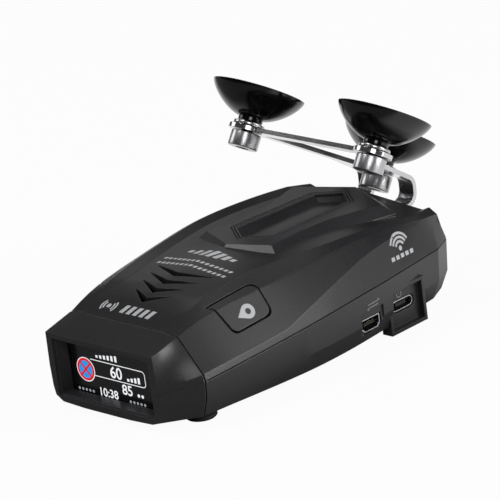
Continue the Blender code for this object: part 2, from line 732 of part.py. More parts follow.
def top_cover(parts, cutters, shell, core):
    cover = add_object("top_cover", shell.data.copy(), parts)
    cut(cover, knife("keep_above", cutters, SPLIT_GAP / 2, -1))
    join(cover, platform(cutters))
    cut(cover, *pocket_cutters(cutters), *chevron_cutters(cutters))
    posts = []
    for i, (x, back) in enumerate(screw_places()):
        foot = place(x, back, BOARD_HEIGHT + BOARD_THICKNESS + FIT)
        posts.append(cylinder(f"post_{i}", cutters, POST_RADIUS, foot, place(x, back, CREST_TOP + OVERSHOOT)))
    ring_foot = place(0.0, SPEAKER_MIDDLE, SPEAKER_TOP + FIT)
    ring_top = place(0.0, SPEAKER_MIDDLE, CREST_TOP + OVERSHOOT)
    ring = cylinder("speaker_ring", cutters, SPEAKER_RADIUS, ring_foot, ring_top, ROUND_STEPS)
    under = Vector((0.0, 0.0, OVERSHOOT))
    cut(ring, cylinder("speaker_bore", cutters, SPEAKER_RADIUS - SPEAKER_RING_WALL,
                       ring_foot - under, ring_top + under, ROUND_STEPS))
    posts.append(ring)
    for post in posts:
        boolean(post, "INTERSECT", core)
        settle(post)
    for side in (-1, 1):
        posts.append(button_shelf(cutters, side, core))
    posts += sleeves(cutters, core)
    holes = []
    for i, (x, back) in enumerate(screw_places()):
        foot = place(x, back, 0.0)
        holes.append(cylinder(f"screw_hole_{i}", cutters, SCREW_RADIUS + FIT, foot,
                              place(x, back, SCREW_LENGTH + 2 * FIT)))
    for side in (-1, 1):
        holes.append(button_plug(f"button_hole_{side}", cutters, side, BUTTON_FIT, -BUTTON_DEPTH, OVERSHOOT))
    holes += tongue_slots(cutters)
    join(cover, *posts)
    cut(cover, *holes)
    material(settle(cover), BLACK, 0.5)
    shade(cover, 18)
    return cover


def sleeves(group, core):
    """Blocks inside the rear wall that the mount's tongues slide into."""
    blocks = []
    for side in (-1, 1):
        wide = LEG_WIDTH / 2 + SLIDE_FIT + SLEEVE_WALL
        tall = PLATE_THICKNESS / 2 + SLIDE_FIT + SLEEVE_WALL
        middle = side * LEG_SPREAD / 2
        block = box(f"sleeve_{side}", group,
                    (middle - wide, TONGUE_FRONT - FIT - SLEEVE_WALL, TONGUE_HEIGHT - tall),
                    (middle + wide, CASE_LENGTH + OVERSHOOT, CREST_TOP + OVERSHOOT))
        boolean(block, "INTERSECT", core)
        blocks.append(settle(block))
    return blocks


def tongue_slots(group):
    slots = []
    for side in (-1, 1):
        wide = LEG_WIDTH / 2 + SLIDE_FIT
        tall = PLATE_THICKNESS / 2 + SLIDE_FIT
        middle = side * LEG_SPREAD / 2
        slots.append(box(f"tongue_slot_{side}", group,
                         (middle - wide, TONGUE_FRONT - FIT, TONGUE_HEIGHT - tall),
                         (middle + wide, CASE_LENGTH + 2 * OVERSHOOT, TONGUE_HEIGHT + tall)))
    return slots


def socket_floor():
    """Height of the board's top, which the sockets stand on."""
    return BOARD_HEIGHT + BOARD_THICKNESS + FIT


def data_outline(shrink):
    """Trapezoid of the data socket as (back, up), with its lower corners cut."""
    half, tall = DATA_LENGTH / 2 - shrink, DATA_HEIGHT - 2 * shrink
    low = socket_floor() + shrink
    bevel = DATA_BEVEL
    return [(DATA_MIDDLE + a, low + b) for a, b in (
        (-half + bevel, 0.0), (half - bevel, 0.0), (half, bevel), (half, tall), (-half, tall), (-half, bevel))]


def power_outline(shrink):
    """Oval of the power socket as (back, up)."""
    radius = POWER_HEIGHT / 2 - shrink
    reach = (POWER_LENGTH - POWER_HEIGHT) / 2
    middle = socket_floor() + POWER_HEIGHT / 2
    right = arc((POWER_MIDDLE + reach, middle), radius, -90, 90, 8)
    left = arc((POWER_MIDDLE - reach, middle), radius, 90, 270, 8)
    return right + left


def side_prism(name, group, outline, near, far):
    return loft(name, group, [[place(x, back, up) for back, up in outline] for x in (near, far)])


def data_face():
    return split_half_width(share_at(DATA_MIDDLE)) - DATA_RECESS_DEPTH


def power_face():
    return split_half_width(share_at(POWER_MIDDLE)) - HULL_EDGE_INSET / 5 - POWER_RECESS_DEPTH


def bottom_cover(parts, cutters, shell, core):
    cover = add_object("bottom_cover", shell.data.copy(), parts)
    cut(cover, knife("keep_below", cutters, -SPLIT_GAP / 2, 1))
    half = POWER_RECESS_LENGTH / 2
    boss = box("power_boss", cutters,
               (power_face() - WALL, POWER_MIDDLE - half - POWER_FRAME, -POWER_DROP),
               (power_face() + POWER_RECESS_DEPTH, POWER_MIDDLE + half + POWER_FRAME,
                POWER_RECESS_TOP + POWER_FRAME))
    backing = box("data_backing", cutters,
                  (data_face() - WALL, DATA_MIDDLE - DATA_RECESS_LENGTH / 2 - WALL, WALL / 2),
                  (data_face() + DATA_RECESS_DEPTH / 2, DATA_MIDDLE + DATA_RECESS_LENGTH / 2 + WALL,
                   DATA_RECESS_TOP + WALL))
    boolean(backing, "INTERSECT", core)
    settle(backing)
    bosses = []
    for i, (x, back) in enumerate(screw_places()):
        bosses.append(cylinder(f"boss_{i}", cutters, POST_RADIUS, place(x, back, WALL / 2),
                               place(x, back, BOARD_HEIGHT - FIT)))
    join(cover, boss, backing, *bosses)
    wide = CASE_WIDTH / 2 + OVERSHOOT
    cut(cover, box("power_recess", cutters, (power_face(), POWER_MIDDLE - half, POWER_FRAME - POWER_DROP),
                   (wide, POWER_MIDDLE + half, POWER_RECESS_TOP)))
    cut(cover, box("data_recess", cutters,
                   (data_face(), DATA_MIDDLE - DATA_RECESS_LENGTH / 2, socket_floor() - FIT),
                   (wide, DATA_MIDDLE + DATA_RECESS_LENGTH / 2, DATA_RECESS_TOP)))
    cut(cover, side_prism("data_hole", cutters, data_outline(-FIT), data_face() - DATA_DEPTH, wide))
    cut(cover, side_prism("power_hole", cutters, power_outline(-FIT), power_face() - POWER_DEPTH, wide))
    for i, (x, back) in enumerate(screw_places()):
        below = place(x, back, -OVERSHOOT)
        cut(cover, cylinder(f"shank_hole_{i}", cutters, SCREW_RADIUS + FIT, below, place(x, back, SCREW_LENGTH)))
        cut(cover, cylinder(f"head_hole_{i}", cutters, SCREW_HEAD_RADIUS + FIT, below,
                            place(x, back, SCREW_HEAD_HEIGHT + FIT)))
    cut(cover, rear_lens_block("rear_lens_hole", cutters, FIT))
    material(settle(cover), BLACK, 0.5)
    shade(cover, 18)
    return cover


def rear_lens_block(name, group, grow):
    half = REAR_LENS_WIDTH / 2 + grow
    tall = REAR_LENS_HEIGHT / 2 + grow
    return box(name, group, (LASER_X - half, CASE_LENGTH - 3 * WALL, LASER_HEIGHT - tall),
               (LASER_X + half, CASE_LENGTH + OVERSHOOT, LASER_HEIGHT + tall))


def rear_lens(parts, cutters, shell):
    lens = rear_lens_block("rear_lens", parts, 0.0)
    skin = add_object("rear_skin", shell.data.copy(), cutters)
    boolean(lens, "INTERSECT", skin)
    material(settle(lens), SMOKE, 0.15)
    return lens


# Hood and display


def hood_face():
    """Right half of the hood's face, in step with section()."""
    top, wide, foot = HOOD_TOP, HOOD_WIDTH / 2, HOOD_FOOT_WIDTH / 2
    return [
        (0.0, top),
        (wide * 0.6, top),
        (wide * 0.8, top),
        (wide, top),
        (foot + (wide - foot) * 0.3, SPLIT_SEAM_HEIGHT - LIP_HEIGHT * 0.4),
        (foot, SPLIT_SEAM_HEIGHT - LIP_HEIGHT),
        (foot, HOOD_CORNER + (SPLIT_SEAM_HEIGHT - LIP_HEIGHT - HOOD_CORNER) * 0.3),
        (foot - HOOD_CORNER * 0.25, HOOD_CORNER * 0.5),
        (foot - HOOD_CORNER * 1.4, HOOD_CORNER * 0.1),
        ((foot - HOOD_CORNER) / 2, 0.0),
        (0.0, 0.0),
    ]


def taper_ring(width, low, high, back):
    half = width / 2
    return [place(x, back, up) for x, up in ((-half, low), (half, low), (half, high), (-half, high))]


def front_bezel(parts, cutters):
    near = both_sides(hood_face())
    far = both_sides(section(0.0))
    rings = []
    for i in range(HOOD_STATIONS + 1):
        share = i / HOOD_STATIONS
        rings.append([place(a + (c - a) * share, HOOD_DEPTH * share, b + (d - b) * share)
                      for (a, b), (c, d) in zip(near, far)])
    bezel = loft("front_bezel", parts, rings)
    slope = 1 + OVERSHOOT / SCREEN_DEPTH
    low = SCREEN_LOW + (OPENING_LOW - SCREEN_LOW) * slope
    high = SCREEN_HIGH + (OPENING_HIGH - SCREEN_HIGH) * slope
    wide = SCREEN_WIDTH + (OPENING_WIDTH - SCREEN_WIDTH) * slope
    cut(bezel, loft("screen_recess", cutters, [
        taper_ring(wide, low, high, -OVERSHOOT),
        taper_ring(SCREEN_WIDTH, SCREEN_LOW, SCREEN_HIGH, SCREEN_DEPTH),
        taper_ring(SCREEN_WIDTH, SCREEN_LOW, SCREEN_HIGH, SCREEN_DEPTH + PANE_THICKNESS)]))
    step = OPENING_STEP
    cut(bezel, box("opening_step", cutters,
                   (-OPENING_WIDTH / 2 - step, -OVERSHOOT, OPENING_LOW - step),
                   (OPENING_WIDTH / 2 + step, step, OPENING_HIGH + step)))
    margin = PANE_MARGIN + FIT
    cut(bezel, box("panel_pocket", cutters,
                   (-SCREEN_WIDTH / 2 - margin, SCREEN_DEPTH - FIT, SCREEN_LOW - margin),
                   (SCREEN_WIDTH / 2 + margin, HOOD_DEPTH + OVERSHOOT, SCREEN_HIGH + margin)))
    material(settle(bezel), BLACK, 0.35)
    shade(bezel, 18)
    return bezel


def screen_plate(name, parts, near, thickness):
    margin = PANE_MARGIN
    return box(name, parts, (-SCREEN_WIDTH / 2 - margin, near, SCREEN_LOW - margin),
               (SCREEN_WIDTH / 2 + margin, near + thickness, SCREEN_HIGH + margin))


def display(parts):
    pane = screen_plate("display_window", parts, SCREEN_DEPTH, PANE_THICKNESS)
    material(pane, GLASS, 0.08)
    panel = screen_plate("display_panel", parts, SCREEN_DEPTH + PANE_THICKNESS + FIT, PANEL_THICKNESS)
    material(panel, (0.03, 0.03, 0.035), 0.3)


# Buttons


def button(parts, cutters, outer, side, name):
    cap = button_plug(f"{name}_button", parts, side, 0.0, -BUTTON_DEPTH - BUTTON_FLANGE / 2, OVERSHOOT)
    frame, _ = button_frame(side)
    low = -BUTTON_DEPTH - BUTTON_FLANGE
    join(cap, button_plug(f"{name}_flange", cutters, side, BUTTON_FLANGE, low, -BUTTON_DEPTH))
    boolean(cap, "INTERSECT", outer)
    settle(cap)
    cap.data.transform(frame.inverted())
    cap.matrix_world = frame
    material(cap, BLACK, 0.45)
    shade(cap, 18)
    stem_top = low - BUTTON_TRAVEL - FIT
    half = SWITCH_SIDE / 2
    foot = shelf_level() + FIT
    ring = [(-half, -half), (half, -half), (half, half), (-half, half)]
    switch = loft(f"{name}_button_switch", parts, [
        [frame @ Vector((a, b + BUTTON_CORNER, level)) for a, b in ring] for level in (foot, foot + SWITCH_HEIGHT)])
    join(switch, cylinder(f"{name}_stem", cutters, SWITCH_STEM_RADIUS,
                          frame @ Vector((0.0, BUTTON_CORNER, foot + SWITCH_HEIGHT / 2)),
                          frame @ Vector((0.0, BUTTON_CORNER, stem_top))))
    material(settle(switch), (0.05, 0.05, 0.05), 0.4)


# Inside


def main_board(parts, cutters):
    half = BOARD_WIDTH / 2
    board = box("main_board", parts, (-half, BOARD_FRONT, BOARD_HEIGHT),
                (half, BOARD_FRONT + BOARD_LENGTH, BOARD_HEIGHT + BOARD_THICKNESS))
    for i, (x, back) in enumerate(screw_places()):
        cut(board, cylinder(f"board_hole_{i}", cutters, SCREW_RADIUS + FIT, place(x, back, 0.0),
                            place(x, back, SCREW_LENGTH)))
    material(settle(board), BOARD_GREEN, 0.45)


def horn_antenna(parts, cutters):
    floor = socket_floor()

    def ring(back, wide, tall, shrink):
        half = wide / 2 - shrink
        return [place(x, back, up) for x, up in (
            (-half, floor + shrink), (half, floor + shrink), (half, floor + tall - shrink),
            (-half, floor + tall - shrink))]

    front, rear = HORN_FRONT, HORN_FRONT + HORN_LENGTH
    throat = front + HORN_LENGTH / 4
    horn = loft("horn_antenna", parts, [
        ring(front, HORN_THROAT_WIDTH, HORN_THROAT_HEIGHT, 0.0),
        ring(throat, HORN_THROAT_WIDTH, HORN_THROAT_HEIGHT, 0.0),
        ring(rear, HORN_MOUTH_WIDTH, HORN_MOUTH_HEIGHT, 0.0)])
    over = 1 + OVERSHOOT / (rear - throat)
    wide = HORN_THROAT_WIDTH + (HORN_MOUTH_WIDTH - HORN_THROAT_WIDTH) * over
    tall = HORN_THROAT_HEIGHT + (HORN_MOUTH_HEIGHT - HORN_THROAT_HEIGHT) * over
    cut(horn, loft("horn_bore", cutters, [
        ring(front + HORN_WALL, HORN_THROAT_WIDTH, HORN_THROAT_HEIGHT, HORN_WALL),
        ring(throat, HORN_THROAT_WIDTH, HORN_THROAT_HEIGHT, HORN_WALL),
        ring(rear + OVERSHOOT, wide, tall, HORN_WALL)]))
    material(settle(horn), (0.55, 0.55, 0.56), 0.4, 1.0)


def board_pieces(parts):
    floor = socket_floor()
    rear = HORN_FRONT - FIT
    can = box("shield_can", parts, (-CAN_WIDTH / 2, rear - CAN_LENGTH, floor),
              (CAN_WIDTH / 2, rear, floor + CAN_HEIGHT))
    material(can, STEEL, 0.35, 1.0)
    half = ANTENNA_SIDE / 2
    patch = box("position_antenna", parts, (-half, ANTENNA_MIDDLE - half, floor),
                (half, ANTENNA_MIDDLE + half, floor + ANTENNA_HEIGHT))
    material(patch, CERAMIC, 0.5)


def speaker(parts):
    top = place(0.0, SPEAKER_MIDDLE, SPEAKER_TOP)
    frame = Matrix.Translation(top)
    radius, deep = SPEAKER_RADIUS, SPEAKER_HEIGHT
    rim = radius - SPEAKER_RING_WALL
    profile = [
        (0.0, -deep * 0.35), (rim * 0.45, -deep * 0.35), (rim * 0.9, -deep * 0.1), (rim, 0.0), (radius, 0.0),
        (radius, -deep * 0.3), (radius * 0.6, -deep * 0.6), (radius * 0.6, -deep), (0.0, -deep)]
    thing = turned("speaker", parts, profile, frame, ROUND_STEPS)
    material(settle(thing), (0.04, 0.04, 0.04), 0.6)
    shade(thing)


def laser_pieces(parts):
    rear = LASER_LENS_REAR
    front = rear - LASER_LENS_LENGTH
    barrel = cylinder("laser_lens", parts, LASER_LENS_RADIUS, place(LASER_X, front, LASER_HEIGHT),
                      place(LASER_X, rear, LASER_HEIGHT), ROUND_STEPS)
    material(barrel, SMOKE, 0.1)
    shade(barrel)
    half = LASER_SENSOR_SIDE / 2
    back = front - FIT
    sensor = box("laser_sensor", parts, (LASER_X - half, back - LASER_SENSOR_DEPTH, socket_floor()),
                 (LASER_X + half, back, LASER_HEIGHT + half))
    material(sensor, (0.03, 0.03, 0.03), 0.4)


def socket_pair(parts, cutters, name, outline, mouth, deep, middle, tall):
    """A drawn metal shell with its contact tongue."""
    shell = side_prism(f"{name}_shell", parts, outline(0.0), mouth - deep, mouth - FIT)
    cut(shell, side_prism(f"{name}_bore", cutters, outline(SOCKET_WALL), mouth - deep + 2 * SOCKET_WALL,
                          mouth + OVERSHOOT))
    material(settle(shell), STEEL, 0.3, 1.0)
    low = socket_floor() + (tall - TONGUE_THICKNESS) / 2
    half = DATA_LENGTH / 2 - DATA_BEVEL - SOCKET_WALL - FIT
    tongue = box(f"{name}_tongue", parts, (mouth - deep + 2 * SOCKET_WALL + FIT, middle - half, low),
                 (mouth - deep / 8, middle + half, low + TONGUE_THICKNESS))
    material(tongue, (0.015, 0.015, 0.015), 0.4)


def sockets(parts, cutters):
    socket_pair(parts, cutters, "data_socket", data_outline, data_face(), DATA_DEPTH, DATA_MIDDLE, DATA_HEIGHT)
    socket_pair(parts, cutters, "power_socket", power_outline, power_face(), POWER_DEPTH, POWER_MIDDLE,
                POWER_HEIGHT)


# Feet and screws


def feet(parts):
    for end, back in (("front", FOOT_FRONT), ("rear", FOOT_REAR)):
        for side, word in ((-1, "left"), (1, "right")):
            frame = Matrix.Translation(place(side * FOOT_X, back, -BASE))
            edge = FOOT_HEIGHT / 4
            profile = [(0.0, FOOT_HEIGHT), (FOOT_RADIUS, FOOT_HEIGHT), (FOOT_RADIUS, edge),
                       (FOOT_RADIUS - edge, 0.0), (0.0, 0.0)]
            foot = turned(f"foot_{end}_{word}", parts, profile, frame, ROUND_STEPS)
            material(settle(foot), RUBBER, 0.75)
            shade(foot)


def screws(parts):
    for i, (x, back) in enumerate(screw_places()):
        frame = Matrix.Translation(place(x, back, 0.0))
        profile = [(0.0, SCREW_LENGTH), (SCREW_RADIUS * 0.5, SCREW_LENGTH),
                   (SCREW_RADIUS, SCREW_LENGTH - SCREW_RADIUS), (SCREW_RADIUS, SCREW_HEAD_HEIGHT),
                   (SCREW_HEAD_RADIUS, SCREW_HEAD_HEIGHT), (SCREW_HEAD_RADIUS, 0.0), (0.0, 0.0)]
        screw = turned(f"case_screw_{i + 1}", parts, profile, frame, SMALL_STEPS)
        material(settle(screw), (0.25, 0.25, 0.26), 0.35, 1.0)
        shade(screw)


# Suction mount


def on_plate(x, along, off):
    """World point from plate coordinates: sideways, down the plate and out along its normal."""
    return place(x, PLATE_FRONT, PLATE_HEIGHT) + PLATE_AXIS * along + PLATE_NORMAL * off


def cup_places():
    half = CUP_SPREAD / 2
    return (("left", -half, 0.0), ("right", half, 0.0), ("rear", 0.0, CUP_STAGGER))


def plate_frame(x, along, off):
    right = Vector((1.0, 0.0, 0.0))
    frame = Matrix((right, PLATE_AXIS, PLATE_NORMAL)).transposed().to_4x4()
    frame.translation = on_plate(x, along, off)
    return frame


def leg_stations():
    """Middle line of a leg as (back, up, slope): off the plate, over a bend, down, forward as a tongue."""
    radius = LEG_BEND
    steps = 5
    hinge = LEG_LINE - radius
    start = hinge + radius * sin(MOUNT_TILT)
    knee = PLATE_HEIGHT - (start - PLATE_FRONT) * sin(MOUNT_TILT) / cos(MOUNT_TILT) - radius * cos(MOUNT_TILT)
    stations = []
    for i in range(steps + 1):
        angle = (pi / 2 - MOUNT_TILT) * (1 - i / steps)
        stations.append((hinge + radius * cos(angle), knee + radius * sin(angle), angle))
    for i in range(steps + 1):
        angle = -pi / 2 * i / steps
        stations.append((hinge + radius * cos(angle), TONGUE_HEIGHT + radius + radius * sin(angle), angle))
    stations.append((TONGUE_FRONT, TONGUE_HEIGHT, -pi / 2))
    return stations


def plate_outline():
    """Right half of the plate's outline as (x, along), from the front bar's middle to the rear pad's end."""
    wide = CUP_SPREAD / 2
    slope = atan2(CUP_STAGGER, wide)
    bar = STRIP_WIDTH / 2
    grip = asin(bar / PAD_RADIUS)
    outer = LEG_SPREAD / 2 + LEG_WIDTH / 2
    inner = LEG_SPREAD / 2 - LEG_WIDTH / 2
    fold = (LEG_LINE - LEG_BEND * (1 - sin(MOUNT_TILT)) - PLATE_FRONT) / cos(MOUNT_TILT)
    notch = fold - LEG_BEND
    pad = inner - LEG_NOTCH
    meet = CUP_STAGGER - outer * CUP_STAGGER / wide + bar / cos(slope)
    low = asin((notch - CUP_STAGGER) / pad)
    points = [(0.0, -bar)]
    points += turn_about(wide, 0.0, PAD_RADIUS, pi + grip, 3 * pi - slope - grip, 14)
    points += [(outer, meet), (outer, fold), (inner, fold), (inner, notch)]
    points += turn_about(0.0, CUP_STAGGER, pad, low, pi / 2, 8)
    return points


def turn_about(x, along, radius, start, end, steps):
    turns = [start + (end - start) * i / steps for i in range(steps + 1)]
    return [(x + radius * cos(t), along + radius * sin(t)) for t in turns]


def mount_bracket(parts, cutters):
    """Flat frame cut from sheet, with the two legs folded down from its rear edge."""
    half = PLATE_THICKNESS / 2
    right = plate_outline()
    outline = right + [(-x, along) for x, along in right[-2:0:-1]]
    shape = bmesh.new()
    top = [shape.verts.new(on_plate(x, along, half)) for x, along in outline]
    low = [shape.verts.new(on_plate(x, along, -half)) for x, along in outline]
    shape.faces.new(top)
    shape.faces.new(low)
    fold = max(along for x, along in outline if abs(x) > LEG_SPREAD / 2)
    for i in range(len(outline)):
        j = (i + 1) % len(outline)
        is_fold = all(abs(outline[k][1] - fold) < FIT / 100 and abs(outline[k][0]) > FIT for k in (i, j))
        if not is_fold:
            shape.faces.new((top[i], top[j], low[j], low[i]))
            continue
        ring = [top[i], top[j], low[j], low[i]]
        for back, up, angle in leg_stations()[1:]:
            lift = Vector((0.0, cos(angle), sin(angle))) * half
            middle = place(0.0, back, up)
            sides = [Vector((outline[k][0], middle.y, middle.z)) for k in (i, j)]
            spots = (sides[0] + lift, sides[1] + lift, sides[1] - lift, sides[0] - lift)
            nxt = [shape.verts.new(spot) for spot in spots]
            for k in range(4):
                m = (k + 1) % 4
                shape.faces.new((ring[k], ring[m], nxt[m], nxt[k]))
            ring = nxt
        shape.faces.new(ring)
    shape.normal_update()
    bmesh.ops.triangulate(shape, faces=shape.faces)
    bracket = from_bmesh("mount_bracket", shape, parts)
    cut(bracket, plate_window(cutters))
    for word, x, along in cup_places():
        cut(bracket, cylinder(f"{word}_stem_hole", cutters, STEM_RADIUS + STEM_HOLE_FIT,
                              on_plate(x, along, -OVERSHOOT), on_plate(x, along, OVERSHOOT)))
    material(settle(bracket), STEEL, 0.22, 1.0)
    shade(bracket)


def plate_window(group):
    """Triangular window between the three bars of the frame."""
    bar = STRIP_WIDTH / 2
    wide = CUP_SPREAD / 2
    slope = atan2(CUP_STAGGER, wide)
    rear = CUP_STAGGER - bar / cos(slope)
    half = (rear - bar) * wide / CUP_STAGGER
    ring = [(-half, bar), (half, bar), (0.0, rear)]
    return loft("plate_window", group, [
        [on_plate(x, along, off) for x, along in ring] for off in (-OVERSHOOT, OVERSHOOT)])


def cup_profile(foot):
    """Rounded cup with its stem, from the inside of the bowl over the rim and down to the stem's end."""
    top, neck, rim = CUP_HEIGHT, CUP_NECK_RADIUS, CUP_RADIUS
    turns = [radians(angle) for angle in (90, 72, 54, 36, 18, 0)]
    inner = rim - CUP_LIP
    deep = top - CUP_NECK_HEIGHT - CUP_WALL
    shares = [(max(cos(turn), 0.0) ** CUP_FULLNESS, sin(turn) ** CUP_FULLNESS) for turn in turns]
    bowl = [(inner * out, top - deep * down) for out, down in shares[1:]]
    skirt = [(neck + (rim - neck) * out, top - (top - CUP_NECK_HEIGHT) * down) for out, down in shares[::-1]]
    return [(0.0, top - deep), *bowl, *skirt, (neck, 0.0), (STEM_RADIUS, 0.0), (STEM_RADIUS, foot), (0.0, foot)]


def suction_cups(parts):
    half = PLATE_THICKNESS / 2
    washer_foot = half + FIT
    cup_foot = washer_foot + WASHER_THICKNESS + FIT
    knob_top = -half - FIT
    stem_foot = knob_top - KNOB_SOCKET + FIT
    hole = STEM_RADIUS + STEM_HOLE_FIT
    for word, x, along in cup_places():
        cup = turned(f"{word}_suction_cup", parts, cup_profile(stem_foot - cup_foot),
                     plate_frame(x, along, cup_foot), ROUND_STEPS)
        material(settle(cup), RUBBER, 0.25)
        shade(cup, 40)
        ring = [(hole, WASHER_THICKNESS), (WASHER_RADIUS, WASHER_THICKNESS), (WASHER_RADIUS, 0.0), (hole, 0.0),
                (hole, WASHER_THICKNESS)]
        washer = turned(f"{word}_cup_washer", parts, ring, plate_frame(x, along, washer_foot), ROUND_STEPS)
        material(settle(washer), STEEL, 0.3, 1.0)
        shade(washer)
        socket = STEM_RADIUS + FIT
        profile = [(0.0, -KNOB_SOCKET), (socket, -KNOB_SOCKET), (socket, 0.0), (KNOB_RADIUS - KNOB_EDGE, 0.0),
                   (KNOB_RADIUS, -KNOB_EDGE), (KNOB_RADIUS, KNOB_EDGE - KNOB_HEIGHT),
                   (KNOB_RADIUS - KNOB_EDGE, -KNOB_HEIGHT), (0.0, -KNOB_HEIGHT)]
        knob = turned(f"{word}_cup_knob", parts, profile, plate_frame(x, along, knob_top), ROUND_STEPS)
        material(settle(knob), (0.32, 0.32, 0.33), 0.4)
        shade(knob)


def main():
    for old in list(bpy.data.objects):
        bpy.data.objects.remove(old, do_unlink=True)
    parts = collection("radar_detector")
    cutters = collection("cutters")
    outer = hull("case_outer", cutters)
    core = hull("case_core", cutters, WALL / 2)
    shell = hull("case_shell", cutters)
    cut(shell, hull("case_hollow", cutters, WALL))
    tool(settle(shell))
    top_cover(parts, cutters, shell, core)
    bottom_cover(parts, cutters, shell, core)
    rear_lens(parts, cutters, shell)
    front_bezel(parts, cutters)
    display(parts)
    for side, name in ((-1, "left"), (1, "right")):
        button(parts, cutters, outer, side, name)
    main_board(parts, cutters)
    horn_antenna(parts, cutters)
    board_pieces(parts)
    speaker(parts)
    laser_pieces(parts)
    sockets(parts, cutters)
    feet(parts)
    screws(parts)
    mount_bracket(parts, cutters)
    suction_cups(parts)


main()
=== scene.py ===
"""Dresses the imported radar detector: finishes, prints, lit display, fine mount pieces and a plain studio.

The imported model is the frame: the display looks along -Y, the road side is +Y, and the sockets are on +X.
Objects are in metres; the tables below and the outlines of the flat signs are in millimetres. Run it as a
script. It is laid out as an add-on so that its sizes and colours stand in one place.
"""

import json
from math import cos, hypot, pi, radians, sin

import bmesh
import bpy
from bpy.props import FloatProperty, FloatVectorProperty, IntProperty, PointerProperty
from mathutils import Matrix, Quaternion, Vector
from mathutils.bvhtree import BVHTree


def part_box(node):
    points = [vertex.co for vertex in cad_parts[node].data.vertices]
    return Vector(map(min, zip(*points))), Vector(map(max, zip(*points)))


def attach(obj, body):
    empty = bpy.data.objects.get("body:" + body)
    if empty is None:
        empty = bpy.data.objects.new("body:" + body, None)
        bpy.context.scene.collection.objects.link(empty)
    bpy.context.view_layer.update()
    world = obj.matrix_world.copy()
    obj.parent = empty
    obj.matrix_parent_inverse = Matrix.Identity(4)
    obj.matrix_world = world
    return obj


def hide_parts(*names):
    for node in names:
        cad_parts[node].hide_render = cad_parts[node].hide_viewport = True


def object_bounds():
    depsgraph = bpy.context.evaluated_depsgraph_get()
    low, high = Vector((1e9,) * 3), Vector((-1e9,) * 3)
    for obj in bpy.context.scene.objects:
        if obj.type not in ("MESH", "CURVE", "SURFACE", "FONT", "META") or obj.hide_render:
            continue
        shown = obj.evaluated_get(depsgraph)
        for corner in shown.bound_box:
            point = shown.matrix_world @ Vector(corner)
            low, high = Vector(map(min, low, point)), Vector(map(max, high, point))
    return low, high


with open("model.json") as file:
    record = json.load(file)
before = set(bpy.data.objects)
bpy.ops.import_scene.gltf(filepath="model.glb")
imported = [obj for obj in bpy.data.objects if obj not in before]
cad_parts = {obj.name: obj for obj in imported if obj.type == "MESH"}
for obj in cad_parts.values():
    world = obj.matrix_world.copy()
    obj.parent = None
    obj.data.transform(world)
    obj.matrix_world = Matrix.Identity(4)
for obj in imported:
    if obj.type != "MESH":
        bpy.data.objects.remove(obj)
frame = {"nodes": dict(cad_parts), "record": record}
CAD_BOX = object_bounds()

bl_info = {
    "name": "Radar Detector Dressing",
    "version": (1, 0, 0),
    "blender": (4, 5, 0),
    "location": "View3D > Sidebar > Detector",
    "description": "Finishes, prints, lit display and studio for a windscreen radar detector",
    "category": "Object",
}

MM = 0.001
NODES = frame["nodes"]
MOUNTS = {mount["name"]: mount for mount in frame["record"]["mounts"]}
HOOD_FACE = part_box("front_bezel")[0][1]    # Y of the hood's face
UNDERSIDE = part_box("front_bezel")[0][2]    # Z of the case's underside

# Right half of the hood's outline, from the middle and above the underside: at its face, then at its seam
HOOD_NEAR = ((0.0, 21.2), (12.7, 21.2), (17.0, 21.2), (20.9, 21.2), (21.1, 11.2), (21.0, 10.0),
             (20.8, 5.4), (20.2, 2.6), (17.6, 1.0), (9.0, 0.6), (0.0, 0.6))
HOOD_FAR = ((0.0, 24.1), (13.5, 24.1), (16.5, 24.1), (20.9, 23.5), (29.1, 14.0), (29.6, 12.0),
            (29.1, 6.8), (27.2, 1.4), (22.6, 0.0), (11.3, 0.0), (0.0, 0.0))
HOOD_DEPTH = 10.1
# Rectangles of the hood's opening: half width, low, high, behind the face
HOOD_OPENING = ((18.9, 2.7, 19.7, 0.0), (18.9, 2.7, 19.7, 0.6), (18.2, 3.1, 19.2, 0.6),
                (16.9, 3.4, 18.5, 3.9), (18.1, 2.1, 19.7, 3.9), (18.1, 2.1, 19.7, HOOD_DEPTH))
# Ends of the line of painted shade on the hood's right side: from the middle, behind the face, above the
# floor
HOOD_LINE = ((20.4, 0.3, 12.0), (29.2, 9.9, 13.8))

# Crease along each shoulder, behind the hood's face and from the middle
CREASE = ((10.6, 20.9), (19.0, 21.9), (27.4, 23.0), (35.9, 24.2), (44.3, 25.3), (52.7, 26.3),
          (61.1, 27.0), (69.5, 27.3), (82.1, 27.2), (94.8, 27.1), (103.2, 26.9))

# Right half of the platform's hexagon pocket, from the middle and behind the hood's face
POCKET = ((0.0, 56.8), (9.0, 63.2), (8.5, 96.1), (0.0, 102.5))
# Bands in the pocket: name, outer and inner edge inside the pocket's own, height over its floor
BANDS = (("outer_band", 0.4, 1.0, 0.42), ("inner_band", 1.4, 2.1, 0.87))

# Lamps: setting that holds the power, turn and lift in degrees, width and height in metres
LAMPS = (("key", 112.0, 17.0, 0.5, 0.7), ("front", 50.0, 36.0, 0.45, 0.45), ("crown", 330.0, 62.0, 0.4, 0.4),
         ("top", 205.0, 58.0, 0.4, 0.4), ("back", 225.0, 24.0, 0.7, 0.4), ("left", 290.0, 22.0, 0.5, 0.5))
LAMP_DISTANCE = 1.3    # metres from the point that the camera looks at

DIGIT_SHARE = 0.69     # height of a digit in Blender's own font, as a share of the font's size


def tone(red, green, blue):
    """Linear colour from the eight-bit values that a screen shows."""
    return tuple((v / 255 / 12.92) if v < 10.31 else ((v / 255 + 0.055) / 1.055) ** 2.4
                 for v in (red, green, blue))


def colour_of(name, text, red, green, blue):
    return FloatVectorProperty(name=name, description=text, default=tone(red, green, blue),
                               subtype="COLOR", size=3, min=0.0, max=1.0)


